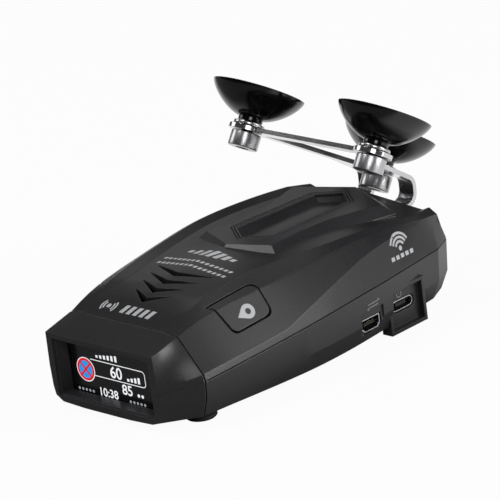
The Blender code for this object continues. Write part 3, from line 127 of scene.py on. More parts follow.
def length_of(name, text, millimetres):
    return FloatProperty(name=name, description=text, default=millimetres * MM,
                         subtype="DISTANCE", unit="LENGTH")


def angle_of(name, text, degrees):
    return FloatProperty(name=name, description=text, default=radians(degrees),
                         subtype="ANGLE", unit="ROTATION")


def power_of(name, text, watts):
    return FloatProperty(name=name, description=text, default=watts, min=0.0, unit="POWER")


class DetectorColours(bpy.types.PropertyGroup):
    """Colours of the finishes, as they look under plain light."""

    case: colour_of("Case", "Fine-grained plastic of the two shells", 40, 40, 42)
    hood: colour_of("Hood", "Smoother plastic round the display", 42, 42, 44)
    button: colour_of("Button", "Plastic of the two buttons", 42, 42, 44)
    pane: colour_of("Pane", "Dark pane of the display", 20, 20, 22)
    ink: colour_of("Ink", "Light grey print on the case", 208, 209, 211)
    faint_ink: colour_of("Faint ink", "Darker print beside the sockets", 128, 129, 132)
    # Painted shade: colour of the dark strip that stands for the shadow in the seam behind the hood.
    seal: colour_of("Seal", "Dark strip in the seam behind the hood", 5, 5, 6)
    # Painted shade: colour of the fine lines that stand for the shade in the creases.
    line: colour_of("Line", "Fine dark lines along the creases", 26, 26, 27)
    steel: colour_of("Steel", "Polished steel of the bracket", 205, 205, 207)
    satin: colour_of("Satin metal", "Turned washers and the plating of the knobs", 184, 184, 186)
    rubber: colour_of("Cup rubber", "Glossy black rubber", 5, 5, 6)
    foot: colour_of("Foot rubber", "Dull rubber of the feet", 26, 26, 27)
    gold: colour_of("Contacts", "Gilt contacts in the sockets", 214, 176, 96)
    lit_white: colour_of("Lit white", "White parts of the display", 240, 242, 245)
    lit_grey: colour_of("Lit grey", "Dimmer parts of the display", 150, 153, 158)
    lit_red: colour_of("Lit red", "Red parts of the display", 214, 24, 40)
    lit_blue: colour_of("Lit blue", "Blue parts of the display", 34, 148, 226)


class DetectorSizes(bpy.types.PropertyGroup):
    """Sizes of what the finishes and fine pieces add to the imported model."""

    grain: length_of("Grain", "Size of the moulded grain", 0.42)
    edge: length_of("Edge", "Radius that softens the moulded edges", 0.32)
    metal_edge: length_of("Metal edge", "Radius that softens the metal edges", 0.16)
    stand_off: length_of("Print stand-off", "Height of the ink above what carries it", 0.03)
    line: length_of("Line", "Width of the fine dark lines", 0.15)
    print_step: length_of("Print step", "Width of the strips that let a print follow a surface", 0.8)
    cup_radius: length_of("Cup radius", "Radius of a cup's rim", 13.6)
    cup_height: length_of("Cup height", "From a cup's foot to its rim", 9.6)
    cup_wall: length_of("Cup wall", "Thickness of a cup's skirt", 1.3)
    cup_lip: length_of("Cup lip", "Flat width of a cup's rim", 0.8)
    cup_neck: length_of("Cup neck", "Radius of a cup's neck", 3.6)
    cup_neck_height: length_of("Cup neck height", "Straight part of a cup's neck", 1.1)
    round_steps: IntProperty(name="Round steps", description="Faces round a turned piece", default=96, min=24)


class StudioSettings(bpy.types.PropertyGroup):
    """Camera and light."""

    azimuth: angle_of("Azimuth", "Camera's turn from the display towards the sockets", 46.5)
    elevation: angle_of("Elevation", "Camera's height angle", 20.0)
    roll: angle_of("Roll", "Camera's turn about its own axis", -7.55)
    distance: length_of("Distance", "From the camera to the point it looks at", 1140.0)
    lens: FloatProperty(name="Lens", description="Focal length of the camera, on a 36 mm sensor",
                        default=292.4, subtype="DISTANCE_CAMERA")
    aim_back: length_of("Aim back", "Point that the camera looks at, behind the hood's face", 61.2)
    aim_up: length_of("Aim up", "Height of that point", 29.0)
    world: FloatProperty(name="World", description="Strength of the even light from all round", default=0.04)
    key: power_of("Key", "Power of the large lamp beside the sockets", 9.5)
    front: power_of("Front", "Power of the lamp over the camera", 3.2)
    crown: power_of("Crown", "Power of the high lamp over the display", 4.8)
    top: power_of("Top", "Power of the high lamp over the mount", 0.9)
    back: power_of("Back", "Power of the low lamp on the far side", 0.6)
    left: power_of("Left", "Power of the lamp on the side away from the sockets", 2.0)
    floor: colour_of("Floor", "Pale floor", 255, 255, 255)


class Wire:
    """An output socket in a finish. Arithmetic and comparisons on wires add Math nodes."""

    def __init__(self, finish, socket):
        self.finish = finish
        self.socket = socket

    def maths(self, operation, first, second=0.0):
        return self.finish.node("ShaderNodeMath", {"operation": operation}, {0: first, 1: second})

    def __add__(self, other):
        return self.maths("ADD", self, other)

    def __radd__(self, other):
        return self.maths("ADD", other, self)

    def __sub__(self, other):
        return self.maths("SUBTRACT", self, other)

    def __rsub__(self, other):
        return self.maths("SUBTRACT", other, self)

    def __mul__(self, other):
        return self.maths("MULTIPLY", self, other)

    def __rmul__(self, other):
        return self.maths("MULTIPLY", other, self)

    def __pow__(self, other):
        return self.maths("POWER", self, other)

    def __rpow__(self, other):
        return self.maths("POWER", other, self)

    def __lt__(self, other):
        return self.maths("LESS_THAN", self, other)

    def __gt__(self, other):
        return self.maths("GREATER_THAN", self, other)

    def __abs__(self):
        return self.maths("ABSOLUTE", self)


class Finish:
    """A material under construction."""

    def __init__(self, name, **constants):
        self.material = bpy.data.materials.new(name)
        self.material.use_nodes = True
        self.tree = self.material.node_tree
        self.shader = self.tree.nodes["Principled BSDF"]
        self.set(**constants)

    def node(self, kind, settings=None, values=None, output=0):
        """Add a node: its settings first, then the values or wires of its sockets."""
        node = self.tree.nodes.new(kind)
        for name, value in (settings or {}).items():
            setattr(node, name, value)
        for place, value in (values or {}).items():
            self.feed(node.inputs[place], value)
        return Wire(self, node.outputs[output])

    def feed(self, socket, value):
        """Link a wire to a socket, or set the socket's own value."""
        if isinstance(value, Wire):
            self.tree.links.new(value.socket, socket)
        else:
            socket.default_value = value

    def set(self, **inputs):
        """Feed the shader's own sockets, and give back the material."""
        for name, value in inputs.items():
            socket = "IOR" if name == "ior" else name.replace("_", " ").title()
            self.feed(self.shader.inputs[socket], value)
        return self.material

    def place(self):
        """Place on the object, which stays with it when it moves."""
        return self.node("ShaderNodeTexCoord", output="Object")

    def axes(self, vector):
        """A vector's X, Y and Z."""
        parts = self.node("ShaderNodeSeparateXYZ", None, {0: vector})
        return tuple(Wire(self, socket) for socket in parts.socket.node.outputs)

    def noise(self, size, detail=2.0, stretch=None, tilt=0.0):
        """Soft noise with features of about this size; tilt turns it about X before it is stretched."""
        place = self.place()
        if tilt:
            place = self.node("ShaderNodeMapping", None, {"Vector": place, "Rotation": (tilt, 0.0, 0.0)})
        if stretch:
            place = self.node("ShaderNodeVectorMath", {"operation": "MULTIPLY"}, {0: place, 1: stretch})
        return self.node("ShaderNodeTexNoise", None, {"Vector": place, "Scale": 1.0 / size, "Detail": detail})

    def mix(self, share, first, second):
        """Colour between two colours."""
        opaque = [colour if isinstance(colour, Wire) else (*colour[:3], 1.0) for colour in (first, second)]
        values = {0: share, 6: opaque[0], 7: opaque[1]}
        return self.node("ShaderNodeMix", {"data_type": "RGBA"}, values, output=2)

    def softened(self, radius):
        """Normal with rounded edges, and how much it differs from the face's own."""
        rounded = self.node("ShaderNodeBevel", {"samples": 6}, {"Radius": radius})
        own = self.node("ShaderNodeNewGeometry", output="Normal")
        agree = self.node("ShaderNodeVectorMath", {"operation": "DOT_PRODUCT"}, {0: rounded, 1: own},
                          output="Value")
        return rounded, 1.0 - agree

    def bump(self, height, strength, distance, normal=None):
        """Normal that follows a height, on top of another normal where one is given."""
        values = {"Height": height, "Strength": strength, "Distance": distance}
        if normal:
            values["Normal"] = normal
        return self.node("ShaderNodeBump", None, values)


def scaled(colour, factor):
    """Lighter or darker colour."""
    return tuple(min(channel * factor, 1.0) for channel in colour[:3])


def colours():
    return bpy.context.scene.detector_colours


def sizes():
    return bpy.context.scene.detector_sizes


def studio():
    return bpy.context.scene.detector_studio


# Finishes

def moulded(name, colour, roughness, relief, edge_highlight=0.8):
    """Moulded plastic: fine grain, faint clouds of gloss, softened edges, and a painted highlight that
    lightens the colour along them.
    """
    finish = Finish(name, ior=1.5)
    grain = finish.noise(sizes().grain, 3.0)
    cloud = finish.noise(14.0 * MM, 2.0)
    rounded, edge = finish.softened(sizes().edge)
    speck = (grain - 0.5) * 2.6 + 0.5
    body = finish.mix(speck, scaled(colour, 0.66), scaled(colour, 1.34))
    body = finish.mix(cloud * 0.4, body, scaled(colour, 1.15))
    # Painted highlight: along the softened edges the colour is lightened, up to three times the plastic's
    # own.
    rim = edge * 4.0
    return finish.set(
        base_color=finish.mix(rim * edge_highlight, body, scaled(colour, 3.0)),
        roughness=roughness + (grain - 0.5) * 0.12 + (cloud - 0.5) * 0.05 - rim * 0.1,
        normal=finish.bump(grain, relief, 0.06 * MM, rounded))


def plain_plastic(name, colour, roughness):
    """Plastic of small inner pieces: faint flow marks."""
    finish = Finish(name)
    flow = finish.noise(1.6 * MM, 3.0, (1.0, 1.0, 0.35))
    return finish.set(base_color=finish.mix(flow, scaled(colour, 0.85), scaled(colour, 1.15)),
                      roughness=roughness + (flow - 0.5) * 0.15,
                      normal=finish.bump(flow, 0.15, 0.05 * MM))


def polished_metal(name, colour, roughness, brushed=0.0, stretch=(0.06, 1.0, 1.0), tilt=0.0):
    """Metal with softened edges; brushed adds fine lines, along X unless stretch says otherwise."""
    finish = Finish(name, metallic=1.0)
    lines = finish.noise(0.25 * MM, 2.0, stretch, tilt)
    stain = finish.noise(6.0 * MM, 3.0)
    rounded, _ = finish.softened(sizes().metal_edge)
    return finish.set(base_color=finish.mix(stain, scaled(colour, 0.94), scaled(colour, 1.04)),
                      roughness=roughness + (stain - 0.5) * 0.06 + (lines - 0.5) * brushed,
                      normal=finish.bump(lines, 0.04 + brushed * 0.2, 0.02 * MM, rounded))


def cup_rubber():
    """Glossy rubber with faint waves and a little dust."""
    finish = Finish("cup rubber", ior=1.5)
    wave = finish.noise(5.0 * MM, 1.0)
    dust = finish.noise(0.5 * MM, 4.0)
    colour = colours().rubber
    return finish.set(base_color=finish.mix(dust, scaled(colour, 0.6), scaled(colour, 1.5)),
                      roughness=0.15 + (dust - 0.5) * 0.03,
                      normal=finish.bump(wave, 0.03, 0.2 * MM))


def foot_rubber():
    """Dull rubber with fine pitting."""
    finish = Finish("foot rubber")
    pits = finish.noise(0.4 * MM, 3.0)
    rounded, edge = finish.softened(0.3 * MM)
    colour = colours().foot
    return finish.set(base_color=finish.mix(pits, scaled(colour, 0.75), scaled(colour, 1.3)),
                      roughness=0.75 + (pits - 0.5) * 0.2 - edge * 0.2,
                      normal=finish.bump(pits, 0.3, 0.08 * MM, rounded))


def pane_glass():
    """Dark pane: nearly black, glossy, with faint streaks from wiping."""
    finish = Finish("display pane", ior=1.45, coat_weight=0.3, coat_roughness=0.05)
    streak = finish.noise(4.0 * MM, 2.0, (0.3, 1.0, 1.0))
    colour = colours().pane
    return finish.set(base_color=finish.mix(streak, scaled(colour, 0.9), scaled(colour, 1.12)),
                      roughness=0.22 + (streak - 0.5) * 0.06)


def infrared_pane():
    """Window that lets infrared through: black with a deep red tint."""
    finish = Finish("infrared window", ior=1.5, coat_weight=0.4, coat_roughness=0.04)
    haze = finish.noise(3.0 * MM, 2.0)
    return finish.set(base_color=finish.mix(haze, tone(16, 8, 9), tone(30, 11, 12)),
                      roughness=0.14 + (haze - 0.5) * 0.05)


def circuit_board():
    """Green lacquer over copper tracks, with rows of tinned pads."""
    finish = Finish("circuit board")
    pads_per_metre = 390.0

    def near_pad(place):
        """One close to a whole number of pad pitches, else nothing."""
        pitches = place * pads_per_metre
        return abs(pitches - finish.node("ShaderNodeMath", {"operation": "ROUND"}, {0: pitches})) < 0.18

    x, y, _ = finish.axes(finish.place())
    cells = finish.node("ShaderNodeTexBrick", {"offset": 0.5}, {
        "Vector": finish.place(), "Color1": (0.0, 0.0, 0.0, 1.0), "Color2": (1.0, 1.0, 1.0, 1.0),
        "Mortar": (0.5, 0.5, 0.5, 1.0), "Scale": 260.0, "Mortar Size": 0.012})
    wander = finish.noise(2.2 * MM, 1.0)
    track = abs(wander - 0.5) < 0.03
    pad = near_pad(x) * near_pad(y)
    lacquer = finish.mix(finish.noise(8.0 * MM), tone(12, 62, 38), tone(16, 78, 48))
    lacquer = finish.mix(track, lacquer, tone(30, 108, 66))
    return finish.set(base_color=finish.mix(pad * cells, lacquer, tone(190, 190, 182)),
                      roughness=0.38 - track * 0.1, metallic=pad * cells * 0.8)


def ceramic():
    """Fired ceramic with fine speckle."""
    finish = Finish("antenna ceramic")
    speck = finish.noise(0.3 * MM, 4.0)
    return finish.set(base_color=finish.mix(speck, tone(176, 160, 132), tone(206, 192, 166)),
                      roughness=0.45 + (speck - 0.5) * 0.2, normal=finish.bump(speck, 0.2, 0.05 * MM))


def cast_metal():
    """Die-cast zinc: grainy and dull."""
    finish = Finish("cast horn", metallic=1.0)
    cast = finish.noise(0.5 * MM, 4.0)
    return finish.set(base_color=finish.mix(cast, tone(120, 121, 124), tone(160, 161, 164)),
                      roughness=0.45 + (cast - 0.5) * 0.25, normal=finish.bump(cast, 0.25, 0.1 * MM))


def ink(name, colour):
    """Screen print: matte, a touch uneven."""
    finish = Finish(name)
    spread = finish.noise(0.5 * MM, 3.0)
    return finish.set(base_color=finish.mix(spread, scaled(colour, 0.9), scaled(colour, 1.06)),
                      roughness=0.55 + (spread - 0.5) * 0.15)


def lit(name, colour, strength):
    """Lit part of the display, with the faint lattice of its cells."""
    finish = Finish(name, roughness=0.4, emission_strength=strength)
    x, _, z = finish.axes(finish.place())
    radians_per_metre = 18000.0
    across, up = [finish.node("ShaderNodeMath", {"operation": "SINE"}, {0: axis * radians_per_metre})
                  for axis in (x, z)]
    return finish.set(base_color=(*scaled(colour, 0.2), 1.0),
                      emission_color=finish.mix(across * up * 0.5 + 0.5, scaled(colour, 0.92), colour))


# Meshes

def smooth_group():
    """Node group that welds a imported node's loose faces and smooths what turns less than an angle."""
    name = "smooth by angle"
    if name in bpy.data.node_groups:
        return bpy.data.node_groups[name]
    group = bpy.data.node_groups.new(name, "GeometryNodeTree")
    group.interface.new_socket("Geometry", in_out="INPUT", socket_type="NodeSocketGeometry")
    group.interface.new_socket("Angle", in_out="INPUT", socket_type="NodeSocketFloat")
    group.interface.new_socket("Geometry", in_out="OUTPUT", socket_type="NodeSocketGeometry")
    source = group.nodes.new("NodeGroupInput")
    result = group.nodes.new("NodeGroupOutput")
    weld = group.nodes.new("GeometryNodeMergeByDistance")
    weld.inputs["Distance"].default_value = 0.005 * MM
    angle = group.nodes.new("GeometryNodeInputMeshEdgeAngle")
    sharp = group.nodes.new("FunctionNodeCompare")
    sharp.operation = "GREATER_THAN"
    normal = group.nodes.new("GeometryNodeSetMeshNormal")
    normal.inputs["Remove Custom"].default_value = True
    group.links.new(source.outputs["Geometry"], weld.inputs["Geometry"])
    group.links.new(angle.outputs["Unsigned Angle"], sharp.inputs[0])
    group.links.new(source.outputs["Angle"], sharp.inputs[1])
    group.links.new(weld.outputs["Geometry"], normal.inputs["Mesh"])
    group.links.new(sharp.outputs["Result"], normal.inputs["Edge Sharpness"])
    group.links.new(normal.outputs["Mesh"], result.inputs["Geometry"])
    return group


def smooth(obj, degrees):
    """Shade an object smooth over edges that turn less than this."""
    modifier = obj.modifiers.new("smooth by angle", "NODES")
    modifier.node_group = smooth_group()
    socket = next(item for item in modifier.node_group.interface.items_tree if item.name == "Angle")
    modifier[socket.identifier] = radians(degrees)


def dress(name, finish, degrees=14.0):
    """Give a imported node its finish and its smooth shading."""
    node = NODES[name]
    node.data.materials.clear()
    node.data.materials.append(finish)
    smooth(node, degrees)
    return node


def new_piece(name, mesh, finish, body, replaces=()):
    """Make an object of a mesh, and let it ride on a body."""
    piece = bpy.data.objects.new(name, mesh)
    bpy.context.scene.collection.objects.link(piece)
    mesh.materials.append(finish)
    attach(piece, body)
    if replaces:
        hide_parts(*replaces)
    return piece


def mesh_of(name, shape, flat=False):
    """Mesh of a shape, which is freed."""
    mesh = bpy.data.meshes.new(name)
    shape.normal_update()
    for face in shape.faces:
        face.smooth = not flat
    shape.to_mesh(mesh)
    shape.free()
    return mesh


def lathe(name, profile, place, steps):
    """Turned mesh of (radius, height) points, about the place's own Z."""
    shape = bmesh.new()
    rings = []
    for radius, height in profile:
        if radius < 1e-7:
            rings.append([shape.verts.new(place @ Vector((0.0, 0.0, height)))])
            continue
        rings.append([shape.verts.new(place @ Vector((radius * cos(turn), radius * sin(turn), height)))
                      for turn in (2 * pi * i / steps for i in range(steps))])
    for near, far in zip(rings, rings[1:]):
        for i in range(steps):
            j = (i + 1) % steps
            corners = [near[i % len(near)], near[j % len(near)], far[j % len(far)], far[i % len(far)]]
            corners = list(dict.fromkeys(corners))
            if len(corners) > 2:
                shape.faces.new(corners)
    bmesh.ops.recalc_face_normals(shape, faces=shape.faces)
    return mesh_of(name, shape)


def arc(centre, radius, start, end, steps):
    """Points along part of a circle."""
    turns = [start + (end - start) * i / steps for i in range(steps + 1)]
    return [(centre[0] + radius * cos(turn), centre[1] + radius * sin(turn)) for turn in turns]


def stitch(shape, near, far):
    """Faces between two closed loops of as many points."""
    for i in range(len(near)):
        shape.faces.new((near[i - 1], near[i], far[i], far[i - 1]))


def towards(turn, lift):
    """Direction at this turn from the display's side towards the sockets, and at this height angle."""
    return Vector((sin(turn) * cos(lift), -cos(turn) * cos(lift), sin(lift)))


def surface_of(name):
    """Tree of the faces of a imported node, or else of a piece, to cast rays at."""
    data = (NODES.get(name) or bpy.data.objects[name]).data
    corners = [vertex.co for vertex in data.vertices]
    return BVHTree.FromPolygons(corners, [face.vertices for face in data.polygons])


def seen_from(place, node):
    """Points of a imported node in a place's own frame."""
    back = place.inverted()
    return [back @ vertex.co for vertex in NODES[node].data.vertices]


def frame_at(origin, across, normal):
    """Frame whose X runs across and whose Z is the normal."""
    third = Vector(normal).normalized()
    first = Vector(across)
    first = (first - third * first.dot(third)).normalized()
    second = third.cross(first)
    basis = Matrix((first, second, third)).transposed().to_4x4()
    return Matrix.Translation(origin) @ basis


# Flat signs: each is a list of outlines, in millimetres, and an outline is a list of points

def bar(x, y, width, height, slant=0.0):
    """Slanted upright bar, from its lower left corner."""
    lean = slant * height
    return [(x, y), (x + width, y), (x + width + lean, y + height), (x + lean, y + height)]


def ring(centre, outer, inner, start=0.0, end=2 * pi, steps=36):
    """Ring or part of one, in short lengths so that each is a plain outline."""
    count = max(2, round((end - start) / (pi / 6)))
    few = max(2, steps // count)
    turns = [start + (end - start) * i / count for i in range(count + 1)]
    return [arc(centre, outer, a, b, few) + arc(centre, inner, b, a, few) for a, b in zip(turns, turns[1:])]


def disc(centre, radius, steps=28):
    """Full circle, as a list of one outline."""
    return [arc(centre, radius, 0.0, 2 * pi, steps)[:-1]]


def stroke(start, end, width):
    """Straight line with square ends."""
    run = Vector(end) - Vector(start)
    side = Vector((-run.y, run.x)).normalized() * (width / 2)
    first, second = Vector(start), Vector(end)
    return [tuple(first + side), tuple(first - side), tuple(second - side), tuple(second + side)]


def polyline(points, width):
    """Straight lines from point to point."""
    return [stroke(a, b, width) for a, b in zip(points, points[1:])]


def flat_shape(outlines):
    """Faces in the XY plane that look up."""
    shape = bmesh.new()
    for outline in outlines:
        shape.faces.new([shape.verts.new((x * MM, y * MM, 0.0)) for x, y in outline])
    shape.normal_update()
    for face in shape.faces:
        if face.normal.z < 0:
            face.normal_flip()
    return shape


def cast_print(name, outlines, place, carrier, finish, body):
    """Print laid on a carrier: outlines in the place's plane, cast back along its normal."""
    shape = flat_shape(outlines)
    step = sizes().print_step
    for axis in (Vector((1.0, 0.0, 0.0)), Vector((0.0, 1.0, 0.0))):
        reach = [vertex.co.dot(axis) for vertex in shape.verts]
        for i in range(int((max(reach) - min(reach)) / step)):
            bmesh.ops.bisect_plane(shape, geom=[*shape.verts, *shape.edges, *shape.faces], dist=1e-9,
                                   plane_co=axis * (min(reach) + (i + 0.5) * step), plane_no=axis)
    tree = surface_of(carrier)
    normal = place.to_3x3() @ Vector((0.0, 0.0, 1.0))
    for vertex in shape.verts:
        point, facing, _, _ = tree.ray_cast(place @ vertex.co + normal * (12.0 * MM), -normal)
        if point is None:
            raise RuntimeError(f"{name} misses {carrier}")
        vertex.co = point + facing * sizes().stand_off
    return new_piece(name, mesh_of(name, shape, flat=True), finish, body)


def flat_print(name, outlines, place, finish, body):
    """Print in the place's own plane."""
    shape = flat_shape(outlines)
    shape.transform(place)
    return new_piece(name, mesh_of(name, shape, flat=True), finish, body)


def number(name, digits, height, place, finish, body):
    """Plain number in the place's plane, as a mesh."""
    text = bpy.data.curves.new(name, "FONT")
    text.body = digits
    text.size = height / DIGIT_SHARE
    text.offset = 0.02 * height
    holder = bpy.data.objects.new(name + "_text", text)
    bpy.context.scene.collection.objects.link(holder)
    mesh = bpy.data.meshes.new_from_object(holder.evaluated_get(bpy.context.evaluated_depsgraph_get()))
    bpy.data.objects.remove(holder)
    bpy.data.curves.remove(text)
    mesh.transform(place)
    mesh.name = name
    mesh.materials.clear()
    return new_piece(name, mesh, finish, body)


# Operators

class DETECTOR_OT_stage(bpy.types.Operator):
    """Set up the camera, the lamps and a pale floor"""

    bl_idname = "detector.stage"
    bl_label = "Studio"

    def execute(self, context):
        look = Vector((0.0, HOOD_FACE + studio().aim_back, studio().aim_up))
        self.camera(context, look)
        self.floor(context)
        self.world(context)
        for name, turn, lift, width, height in LAMPS:
            offset = towards(radians(turn), radians(lift)) * LAMP_DISTANCE
            self.lamp(context, f"{name}_lamp", getattr(studio(), name), look, offset, width, height)
        context.scene.view_settings.view_transform = "Standard"
        return {"FINISHED"}

    def camera(self, context, look):
        """Long lens at the photograph's angle."""
        away = towards(studio().azimuth, studio().elevation)
        level = (-away).to_track_quat("-Z", "Y")
        camera = bpy.data.objects.new("camera", bpy.data.cameras.new("camera"))
        context.scene.collection.objects.link(camera)
        camera.location = look + away * studio().distance
        camera.rotation_mode = "QUATERNION"
        camera.rotation_quaternion = level @ Quaternion((0.0, 0.0, 1.0), studio().roll)
        camera.data.sensor_width = 36.0
        camera.data.lens = studio().lens
        camera.data.clip_start = 0.01
        context.scene.camera = camera

    def floor(self, context):
        """Pale disc that keeps the shadow.

        The camera sees it almost as white as a backdrop. Gloss sees that white only away from the case and
        behind the display, a painted reflection, and nearer the case a painted shadow; all other light meets
        a duller floor.
        """
        white_share, dull_share = 0.95, 0.35
        finish = Finish("pale floor")
        path = finish.node("ShaderNodeLightPath", output="Is Camera Ray")
        outputs = path.socket.node.outputs
        seen = path + Wire(finish, outputs["Is Transmission Ray"])
        gloss = Wire(finish, outputs["Is Glossy Ray"])
        across, along, _ = finish.axes(finish.node("ShaderNodeNewGeometry", output="Position"))
        # apart grows from an oval under the case outwards, and behind from the display towards the rear
        apart = finish.node("ShaderNodeMapRange", None, {
            "Value": (across * across + along * along * 0.56) ** 0.5,
            "From Min": 40.0 * MM, "From Max": 56.0 * MM})
        behind = finish.node("ShaderNodeMapRange", None, {
            "Value": across * 0.3 + along * 0.9, "From Min": -45.0 * MM, "From Max": 0.0})
        colour = studio().floor
        dull = finish.node("ShaderNodeBsdfDiffuse", None, {
            "Color": finish.mix(seen, scaled(colour, dull_share), colour)})
        white = finish.node("ShaderNodeEmission", None, {"Color": (1.0, 1.0, 1.0, 1.0), "Strength": 1.0})
        # Painted reflection and shadow: glossy rays see the white emission only where apart and behind both
        # rise.
        both = finish.node("ShaderNodeMixShader", None, {
            0: seen * white_share + gloss * (apart * behind * white_share), 1: dull, 2: white})
        end = finish.tree.nodes["Material Output"]
        finish.tree.nodes.remove(finish.shader)
        finish.feed(end.inputs["Surface"], both)
        shape = bmesh.new()
        bmesh.ops.create_circle(shape, cap_ends=True, segments=96, radius=6.0)
        floor = bpy.data.objects.new("floor", mesh_of("floor", shape))
        floor.data.materials.append(finish.material)
        context.scene.collection.objects.link(floor)

    def world(self, context):
        """Faint even light from all round."""
        world = bpy.data.worlds.new("studio")
        context.scene.world = world
        world.use_nodes = True
        background = world.node_tree.nodes["Background"]
        background.inputs["Color"].default_value = (1.0, 1.0, 1.0, 1.0)
        background.inputs["Strength"].default_value = studio().world

    def lamp(self, context, name, power, look, offset, width, height):
        """Soft lamp at an offset from the point it lights."""
        light = bpy.data.lights.new(name, "AREA")
        light.shape = "RECTANGLE"
        light.size = width
        light.size_y = height
        light.energy = power
        lamp = bpy.data.objects.new(name, light)
        lamp.location = look + offset
        lamp.rotation_mode = "QUATERNION"
        lamp.rotation_quaternion = (-offset).to_track_quat("-Z", "Y")
        context.scene.collection.objects.link(lamp)


class DETECTOR_OT_case(bpy.types.Operator):
    """Finish the two shells of the case"""

    bl_idname = "detector.case"
    bl_label = "Case"

    def execute(self, context):
        finish = moulded("case plastic", colours().case, 0.38, 0.3)
        dress("top_cover", finish, 16.0)
        dress("bottom_cover", finish, 16.0)
        return {"FINISHED"}


class DETECTOR_OT_hood(bpy.types.Operator):
    """Build the hood round the display as a finely divided loft"""

    bl_idname = "detector.hood"
    bl_label = "Hood"

    division = 1.2    # about how far apart the outline's points are at the seam

    def execute(self, context):
        shape = bmesh.new()
        rows = 12
        shares = [row / rows for row in range(rows + 1)]
        outside = [self.loop(shape, self.outline(share), HOOD_DEPTH * share) for share in shares]
        inside = []
        for half, low, high, back in HOOD_OPENING:
            corners = ((half, high), (half, low), (-half, low), (-half, high))
            inside.append(self.loop(shape, corners, back))
        for loops in (outside, inside):
            for near, far in zip(loops, loops[1:]):
                stitch(shape, near, far)
        for end in (0, -1):
            self.cap(shape, outside[end], inside[end])
        bmesh.ops.recalc_face_normals(shape, faces=shape.faces)
        # The hood's edges carry a painted highlight a little stronger than the case's.
        finish = moulded("hood plastic", colours().hood, 0.36, 0.08, edge_highlight=0.9)
        hood = new_piece("hood", mesh_of("hood", shape), finish, "case", replaces=("front_bezel",))
        smooth(hood, 14.0)
        # Painted shade in the seam behind the hood.
        self.seal()
        return {"FINISHED"}

    def seal(self):
        """Painted shade: a dark strip a little below the surface in the seam behind the hood, standing for
        the seam's shadow.
        """
        shape = bmesh.new()
        middle = Vector((0.0, 12.0))
        sunk = [middle + (point - middle) * 0.985 for point in self.outline(1.0)]
        stitch(shape, *[self.loop(shape, sunk, HOOD_DEPTH + back) for back in (0.02, 0.48)])
        bmesh.ops.recalc_face_normals(shape, faces=shape.faces)
        finish = plain_plastic("seal", colours().seal, 0.7)
        new_piece("hood_seal", mesh_of("hood_seal", shape), finish, "case")

    def outline(self, share):
        """Points round the hood at this share of its depth, divided finely between the corners."""
        half = []
        pairs = list(zip(HOOD_NEAR, HOOD_FAR))
        for (near, far), (next_near, next_far) in zip(pairs, pairs[1:]):
            count = max(1, round((Vector(next_far) - Vector(far)).length / self.division))
            for i in range(count):
                face = Vector(near).lerp(Vector(next_near), i / count)
                seam = Vector(far).lerp(Vector(next_far), i / count)
                half.append(face.lerp(seam, share))
        bottom = Vector(HOOD_NEAR[-1]).lerp(Vector(HOOD_FAR[-1]), share)
        return half + [bottom] + [Vector((-x, up)) for x, up in reversed(half[1:])]

    def loop(self, shape, points, back):
        """Vertices at these points, this far behind the hood's face."""
        return [shape.verts.new((x * MM, HOOD_FACE + back * MM, UNDERSIDE + up * MM)) for x, up in points]

    def cap(self, shape, outside, inside):
        """Flat face between two loops. The inner one has to lie wholly inside the outer one."""
        edges = []
        for loop in (outside, inside):
            edges += [shape.edges.get((loop[i - 1], loop[i])) for i in range(len(loop))]
        bmesh.ops.triangle_fill(shape, use_beauty=True, edges=edges)


class DETECTOR_OT_bands(bpy.types.Operator):
    """Lay the flat bands that leave two fine hexagon grooves in the platform"""

    bl_idname = "detector.bands"
    bl_label = "Hexagon bands"

    def execute(self, context):
        # The bands' edges carry a much stronger painted highlight than the case's.
        finish = moulded("band plastic", colours().case, 0.38, 0.3, edge_highlight=1.6)
        tree = surface_of("top_cover")
        for name, outer, inner, height in BANDS:
            shape = bmesh.new()
            floor = [self.drop(tree, point) for point in self.outline((outer + inner) / 2)]
            loops = []
            for inset, rise in ((outer, 0.0), (outer, height), (inner, height), (inner, 0.0)):
                loops.append([shape.verts.new((point.x * MM, HOOD_FACE + point.y * MM, low + rise * MM))
                              for point, low in zip(self.outline(inset), floor)])
            for near, far in zip(loops, loops[1:] + loops[:1]):
                stitch(shape, near, far)
            bmesh.ops.recalc_face_normals(shape, faces=shape.faces)
            smooth(new_piece(name, mesh_of(name, shape), finish, "case"), 14.0)
        return {"FINISHED"}

    def outline(self, inset):
        """Points round the pocket, this far inside its edge, divided finely between the corners."""
        middle = (POCKET[0][1] + POCKET[-1][1]) / 2
        slope = (POCKET[1][1] - POCKET[0][1]) / POCKET[1][0]
        half = []
        for x, back in POCKET:
            shift = inset * (1.0 - slope) if x else inset
            half.append(Vector((x - inset if x else 0.0, back + shift if back < middle else back - shift)))
        corners = half + [Vector((-x, back)) for x, back in reversed(half[1:-1])]
        points = []
        for start, end in zip(corners, corners[1:] + corners[:1]):
            points += [start.lerp(end, i / 12) for i in range(12)]
        return points

    def drop(self, tree, point):
        """Height of the pocket's floor at a point."""
        start = Vector((point.x * MM, HOOD_FACE + point.y * MM, CAD_BOX[1][2]))
        hit = tree.ray_cast(start, Vector((0.0, 0.0, -1.0)))[0]
        if hit is None:
            raise RuntimeError("the bands miss the platform")
        return hit.z


